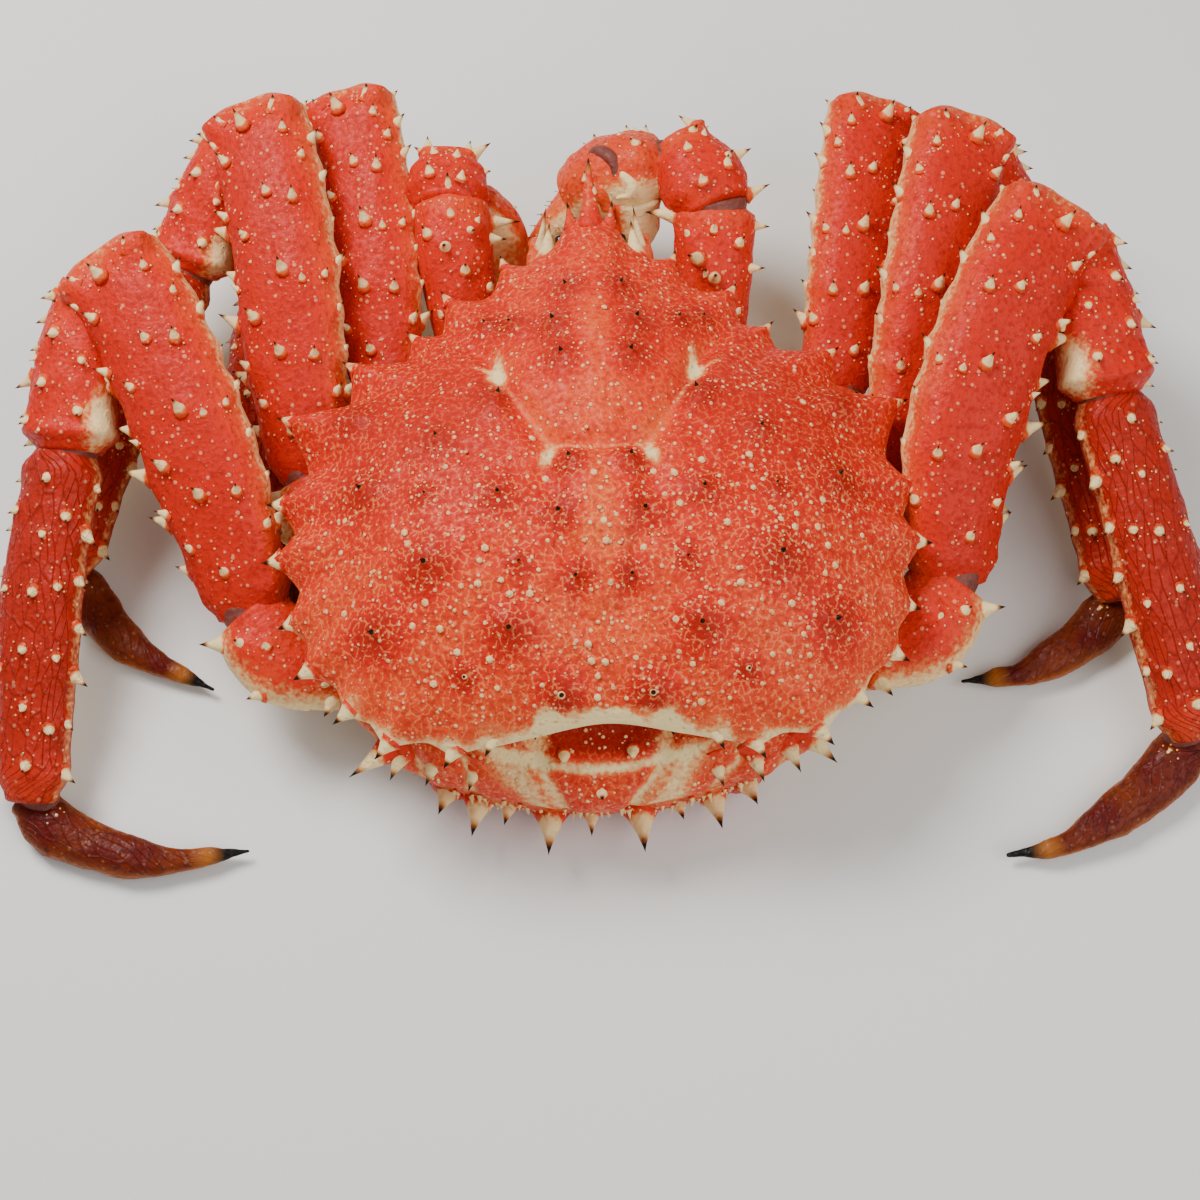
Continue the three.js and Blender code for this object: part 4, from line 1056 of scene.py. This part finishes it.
def trunk_marks(t, angle, form):
    return 0.75, 0, 0.3, 0


trunk = new_mesh()
bmesh.ops.create_uvsphere(trunk, u_segments=120, v_segments=60, radius=1)
for v in trunk.verts:
    flat = math.hypot(v.co.x, v.co.y)
    turn = math.atan2(v.co.y, v.co.x)
    level = (1 - v.co.z) / 2
    wide = min(1, flat * 1.6) if level < 0.5 else flat**0.8
    x = math.cos(turn) * wide * THORAX.half_width
    y = THORAX.centre_y + math.sin(turn) * wide * THORAX.half_length
    z = SHELL_UNDERSIDE - 0.3 + (THORAX.floor - SHELL_UNDERSIDE + 0.3) * rise(0.12, 0.92, level)
    blotch = noise.noise(Vector((x, y, z)) * 0.05)
    v.co = (x, y, z)
    mark(trunk, v, v.co, pale=0.65 + 0.4 * blotch, tip=0, warm=0.5, net=0)
for form in [FACE, *coxae]:
    add_limb(trunk, form, trunk_marks, around=40, rings=24)
trunk_finish = crab_shell("pale_belly_shell", "#DE5A34", "#EE9058", "#B03A20", dots=0.3)
finished("trunk_shell", trunk, trunk_finish, "pale_shell", "thorax")

# The abdomen: a broad spiny plate behind the back shell, and the tail flap folded flat under the trunk.
# Both are red lime plates set in pale leathery skin, and cream thorns fringe them.
TAIL_X = -2
PLATE = SimpleNamespace(
    path=[(TAIL_X, -60, 44.5), (TAIL_X, -72, 41), (TAIL_X, -80, 31), (TAIL_X, -81, 22)],
    widths=[(0, 63, 0), (0.35, 67, 0), (0.7, 58, 0), (1, 47, 0)],
    thickness=8,
    curl=lambda v: 15 * (1 - 0.4 * v),
)
FLAP = SimpleNamespace(
    path=[(TAIL_X, y, z) for y, z in [(-81, 21.3), (-79, 12), (-69, 5.2), (-45, 3.7), (0, 3.7), (26, 3.7)]],
    widths=[(0, 47, 0), (0.15, 44, 0), (0.35, 36, 0), (0.6, 31, 0), (0.85, 23, 0), (1, 12, 0)],
    thickness=7.4,
    curl=lambda v: 9 * (1 - rise(0.1, 0.4, v)),
)
# The tips of their thorns, and the radius of each root
PLATE_THORNS = [
    (-70, -78, 37, 4.4), (-59, -79, 36, 4), (-49.5, -80.5, 35, 3.8), (-38, -82, 34, 3.6),
    (31, -83, 34, 3.6), (42, -82, 34, 3.8), (52, -80, 35, 4), (62, -78, 36, 4.4),
]
FLAP_THORNS = [
    (-47, -84, 20, 4.4), (-38, -90, 18, 5), (-29, -87, 18, 3.4), (-17, -96, 18, 5.4), (-5, -91, 18, 3),
    (9.5, -96, 18, 5.4), (20.5, -87, 18, 3.4), (31, -90, 18, 5), (41, -84, 20, 4.4),
]


FRINGE_SPINULES = 84
PLATE_KNOBS = 90
PLATE_CUTS = 63


def plate_colours(x, w):
    """Where the upper plate is bare cream seam or skin, and how it swells between the seams."""
    side = abs(x) + 5 * noise.noise(Vector((x, w * 50, 5)) * 0.07)
    middle_seam = bell(side - 23 + 15 * w, 2.2)
    outer_seam = bell(side - 40 + 8 * w, 1.8) + bell(side - 54 + 5 * w, 1.5)
    skin = 0.66 * bell(side - 31 + 14 * w, 6) * rise(0.25, 0.5, w)
    skin += 0.8 * bell(w - 0.5 + 0.0001 * x * x, 0.04) * bell(x, 30)
    swell = 2.2 * bell(x, 15) * rise(0.3, 0.6, w) + 1.2 * bell(side - 46, 5)
    swell -= 1.3 * min(1, middle_seam + outer_seam)
    swell -= 3.6 * bell(x, 26) * bell(w - 0.26, 0.18)
    return min(1, 0.6 * middle_seam + 0.62 * outer_seam + skin), swell


def flap_colours(x, w):
    """The flap shows red only along its fold. The part under the trunk is cream, with a seam across."""
    pale = rise(0.1, 0.3, w) + 0.5 * bell(w - 0.3, 0.02)
    return min(1, pale), 0.8 * math.cos(x * 0.42) * (1 - rise(0.1, 0.4, w)) - 1.2 * bell(w - 0.3, 0.02)


def abdomen_plate(form, thorns, at_v, colours):
    """One plate of the abdomen, from a block cut fine and bent along its fold."""
    line = limb_form(form.path, form.widths, 1)

    def at(u, v, depth):
        along = line.axes(v)[0]
        outer = Vector((0, along.z, -along.y))
        return line.place(v) + outer * depth + Vector((u * line.size(v)[0], form.curl(v) * u * u, 0))

    plate = new_mesh()
    block = bmesh.ops.create_cube(plate, size=2)["verts"]
    edges = {e for v in block for e in v.link_edges}
    bmesh.ops.subdivide_edges(plate, edges=list(edges), cuts=PLATE_CUTS, use_grid_fill=True)
    for v in plate.verts:
        u, w = v.co.x, (v.co.y + 1) / 2
        brink = max(abs(u), abs(v.co.y)) ** 8
        x = u * line.size(w)[0]
        depth = -v.co.z * form.thickness / 2 * (1 - 0.45 * brink)
        pale = 1
        if v.co.z < 0:
            pale, swell = colours(x, w)
            depth += swell * (1 - brink) + 0.7 * noise.noise(Vector((x, w * 60, 3)) * 0.12)
        v.co = at(u, w, depth)
        # Deeper red and fewer net lines in the middle, just under the back shell's rim: painted shade of
        # the hollow that the rim overhangs
        painted_rim_shade = 1.5 * bell(x, 26) * (1 - rise(0.36, 0.46, w)) if form is PLATE else 0
        mark(plate, v, v.co, pale=max(pale, 0.4 * brink), tip=0, warm=0.2 - painted_rim_shade, net=0.8 - 0.5 * painted_rim_shade)
    loose = new_mesh()
    half = line.size(at_v)[0]
    for x, y, z, radius in thorns:
        u = min(0.93, max(-0.93, 0.93 * (x - TAIL_X) / half))
        root, tip = at(u, at_v, 1), Vector((x, y, z))
        thorn(loose, root, tip, 1.3 * radius, around=16, rings=12, blunt=1.2, bare=0.36)
    if form is FLAP:
        # A frayed edge of small spinules along the fold
        for _ in range(FRINGE_SPINULES):
            root = at(random.uniform(-0.96, 0.96), random.uniform(0, 0.1), 2.6)
            aim = Vector((random.uniform(-0.3, 0.3), -1, random.uniform(-0.5, 0.1)))
            tip = root + aim * random.uniform(1.4, 3.4)
            thorn(loose, root, tip, random.uniform(0.7, 1.3), black=0.8, around=6, rings=5)
    knobs = []
    for _ in range(PLATE_KNOBS):
        u, w = random.uniform(-0.9, 0.9), random.uniform(0, at_v + 0.15)
        spot = at(u, w, form.thickness / 2 + colours(u * line.size(w)[0], w)[1])
        knobs.append((spot, Vector((0, -0.6, 0.8)), random.choice((0.35, 0.45, 0.6)), 0.75))
    add_knobs(loose, knobs)
    join(plate, loose)
    return plate


plate = abdomen_plate(PLATE, PLATE_THORNS, 0.6, plate_colours)
# Two pale studs in the hollow under the rim, and the thorn of the middle plate
STUDS = [
    (-11.8, -79, 46.4, 1.7, 0.6, 0.8), (6.6, -78.2, 46.4, 1.7, 0.6, 0.8), (-2, -87, 38.5, 2.8, 1, 1.02),
]
studs = new_mesh()
for x, y, z, radius, blunt, black in STUDS:
    tip = Vector((x, y, z))
    thorn(studs, tip - Vector((0, -4, 4)), tip, radius, black=black, blunt=blunt)
join(plate, studs)
finished("abdomen_upper_plate", plate, back_finish, "back_shell", "abdomen_plate")
plate = abdomen_plate(FLAP, FLAP_THORNS, 0.08, flap_colours)
finished("abdomen_flap_plate", plate, back_finish, "pale_shell", "abdomen_flap")

# The face: black eyes under the long spike of the brow, two pairs of feelers and the mouth's legs.
# All of them are thin red shell over the front of the trunk, but for the wet black of the eyes.
EYE_GRAIN = 0.8
eye_finish = empty_material("wet_black_cornea")
eye_place = add_node(eye_finish.node_tree, "ShaderNodeTexCoord", out="Object")
eye_grain = add_node(
    eye_finish.node_tree, "ShaderNodeTexNoise", {"Vector": eye_place, "Scale": 1 / (EYE_GRAIN * MM)}
)
eye_shade = add_node(
    eye_finish.node_tree,
    "ShaderNodeMix",
    {0: eye_grain, 6: linear("#0B0908"), 7: linear("#2A1A14")},
    out=2,
    data_type="RGBA",
)
eye_surface = add_node(
    eye_finish.node_tree, "ShaderNodeBsdfPrincipled", {"Base Color": eye_shade, "Roughness": 0.12}
)
add_node(eye_finish.node_tree, "ShaderNodeOutputMaterial", {"Surface": eye_surface})


def feeler_marks(t, angle, form):
    return 0.25, 0, 0.4, 0


def on_side(side, points):
    return [(x * side, y, z) for x, y, z in points]


for word, side in (("left", -1), ("right", 1)):
    eye = new_mesh()
    stalk = limb_form(
        on_side(side, [(4.5, 60, 48), (6.5, 69, 50), (8.5, 77, 53)]),
        [(0, 3, 3), (0.55, 2.4, 2.4), (0.8, 3.3, 3.3), (1, 1.6, 1.6)], side,
    )
    add_limb(eye, stalk, no_marks, around=32, rings=28)
    finished(f"eye_{word}_ball", eye, eye_finish, "eye", f"eye_{word}")
    feeler = new_mesh()
    whip = limb_form(
        on_side(side, [(13, 62, 42), (15, 74, 46.5), (16, 82, 42), (16, 80, 29), (16, 67, 15)]),
        [(0, 4, 4), (0.2, 3.6, 3.4), (0.34, 2, 2), (0.5, 1.4, 1.4), (0.75, 1, 1), (1, 0.5, 0.5)], side,
    )
    add_limb(feeler, whip, feeler_marks, around=20, rings=60)
    thorn(feeler, Vector((15 * side, 74, 46)), Vector((12.5 * side, 86, 56)), 2.4)
    finished(f"antenna_{word}_feeler", feeler, leg_finish, "leg_shell", f"antenna_{word}")
    small = new_mesh()
    rod = limb_form(
        on_side(side, [(3.5, 63, 43), (4.2, 76, 45), (4.8, 88, 38)]),
        [(0, 2, 2), (0.5, 1.5, 1.5), (1, 0.6, 0.6)], side,
    )
    add_limb(small, rod, feeler_marks, around=16, rings=30)
    finished(f"antennule_{word}_feeler", small, leg_finish, "leg_shell", f"antennule_{word}")
    mouth = new_mesh()
    leg = limb_form(
        on_side(side, [(7.5, 44, 11), (7.5, 60, 14), (7, 70, 24), (6, 72, 37)]),
        [(0, 4.6, 4.4), (0.5, 5, 4), (1, 3.4, 3)], side,
    )
    add_limb(mouth, leg, trunk_marks, around=28, rings=30)
    finished(f"mouth_leg_{word}_shell", mouth, trunk_finish, "pale_shell", f"mouth_leg_{word}")

# Floor, light and camera: a pale sheet, a soft lamp over the head on the left and a broad, weaker one
# behind on the right. The camera looks down at 68 degrees from behind the animal.
FLOOR_HALF = 3  # metres
sheet = bmesh.new()
bmesh.ops.create_grid(sheet, x_segments=1, y_segments=1, size=FLOOR_HALF)
floor_data = bpy.data.meshes.new("floor")
sheet.to_mesh(floor_data)
sheet.free()
floor = bpy.data.objects.new("floor", floor_data)
bpy.context.scene.collection.objects.link(floor)
paper = bpy.data.materials.new("pale_matt_paper")
paper.use_nodes = True
paper.node_tree.nodes["Principled BSDF"].inputs["Base Color"].default_value = linear("#EBE9E4")
paper.node_tree.nodes["Principled BSDF"].inputs["Roughness"].default_value = 0.8
floor_data.materials.append(paper)

# The place, size and power of each lamp, in metres and watts
LAMPS = [
    ("key", (-0.36, 0.3, 0.72), 0.34, 8.2),
    ("fill", (0.54, -0.38, 0.68), 0.8, 5.8),
]
for name, place, size, power in LAMPS:
    lamp = bpy.data.lights.new(name, "AREA")
    lamp.size = size
    lamp.energy = power
    shone = bpy.data.objects.new(name, lamp)
    shone.location = place
    shone.rotation_euler = (Vector((0, 0, 0.05)) - Vector(place)).to_track_quat("-Z", "Y").to_euler()
    bpy.context.scene.collection.objects.link(shone)
world = bpy.data.worlds.new("soft_room")
bpy.context.scene.world = world
world.use_nodes = True
world.node_tree.nodes["Background"].inputs["Color"].default_value = (0.9, 0.95, 1, 1)
world.node_tree.nodes["Background"].inputs["Strength"].default_value = 0.3

ELEVATION = math.radians(68)
AZIMUTH = math.radians(-1.9)
CAMERA_AWAY = 640
LENS = 72
SENSOR_WIDTH = 36
target = Vector((-1, -38, 60)) * MM
back_to_camera = Vector((
    math.sin(AZIMUTH) * math.cos(ELEVATION), -math.cos(AZIMUTH) * math.cos(ELEVATION), math.sin(ELEVATION)
))
camera_data = bpy.data.cameras.new("camera")
camera_data.lens = LENS
camera_data.sensor_width = SENSOR_WIDTH
camera = bpy.data.objects.new("camera", camera_data)
camera.location = target + back_to_camera * CAMERA_AWAY * MM
camera.rotation_euler = (-back_to_camera).to_track_quat("-Z", "Y").to_euler()
bpy.context.scene.collection.objects.link(camera)
bpy.context.scene.camera = camera
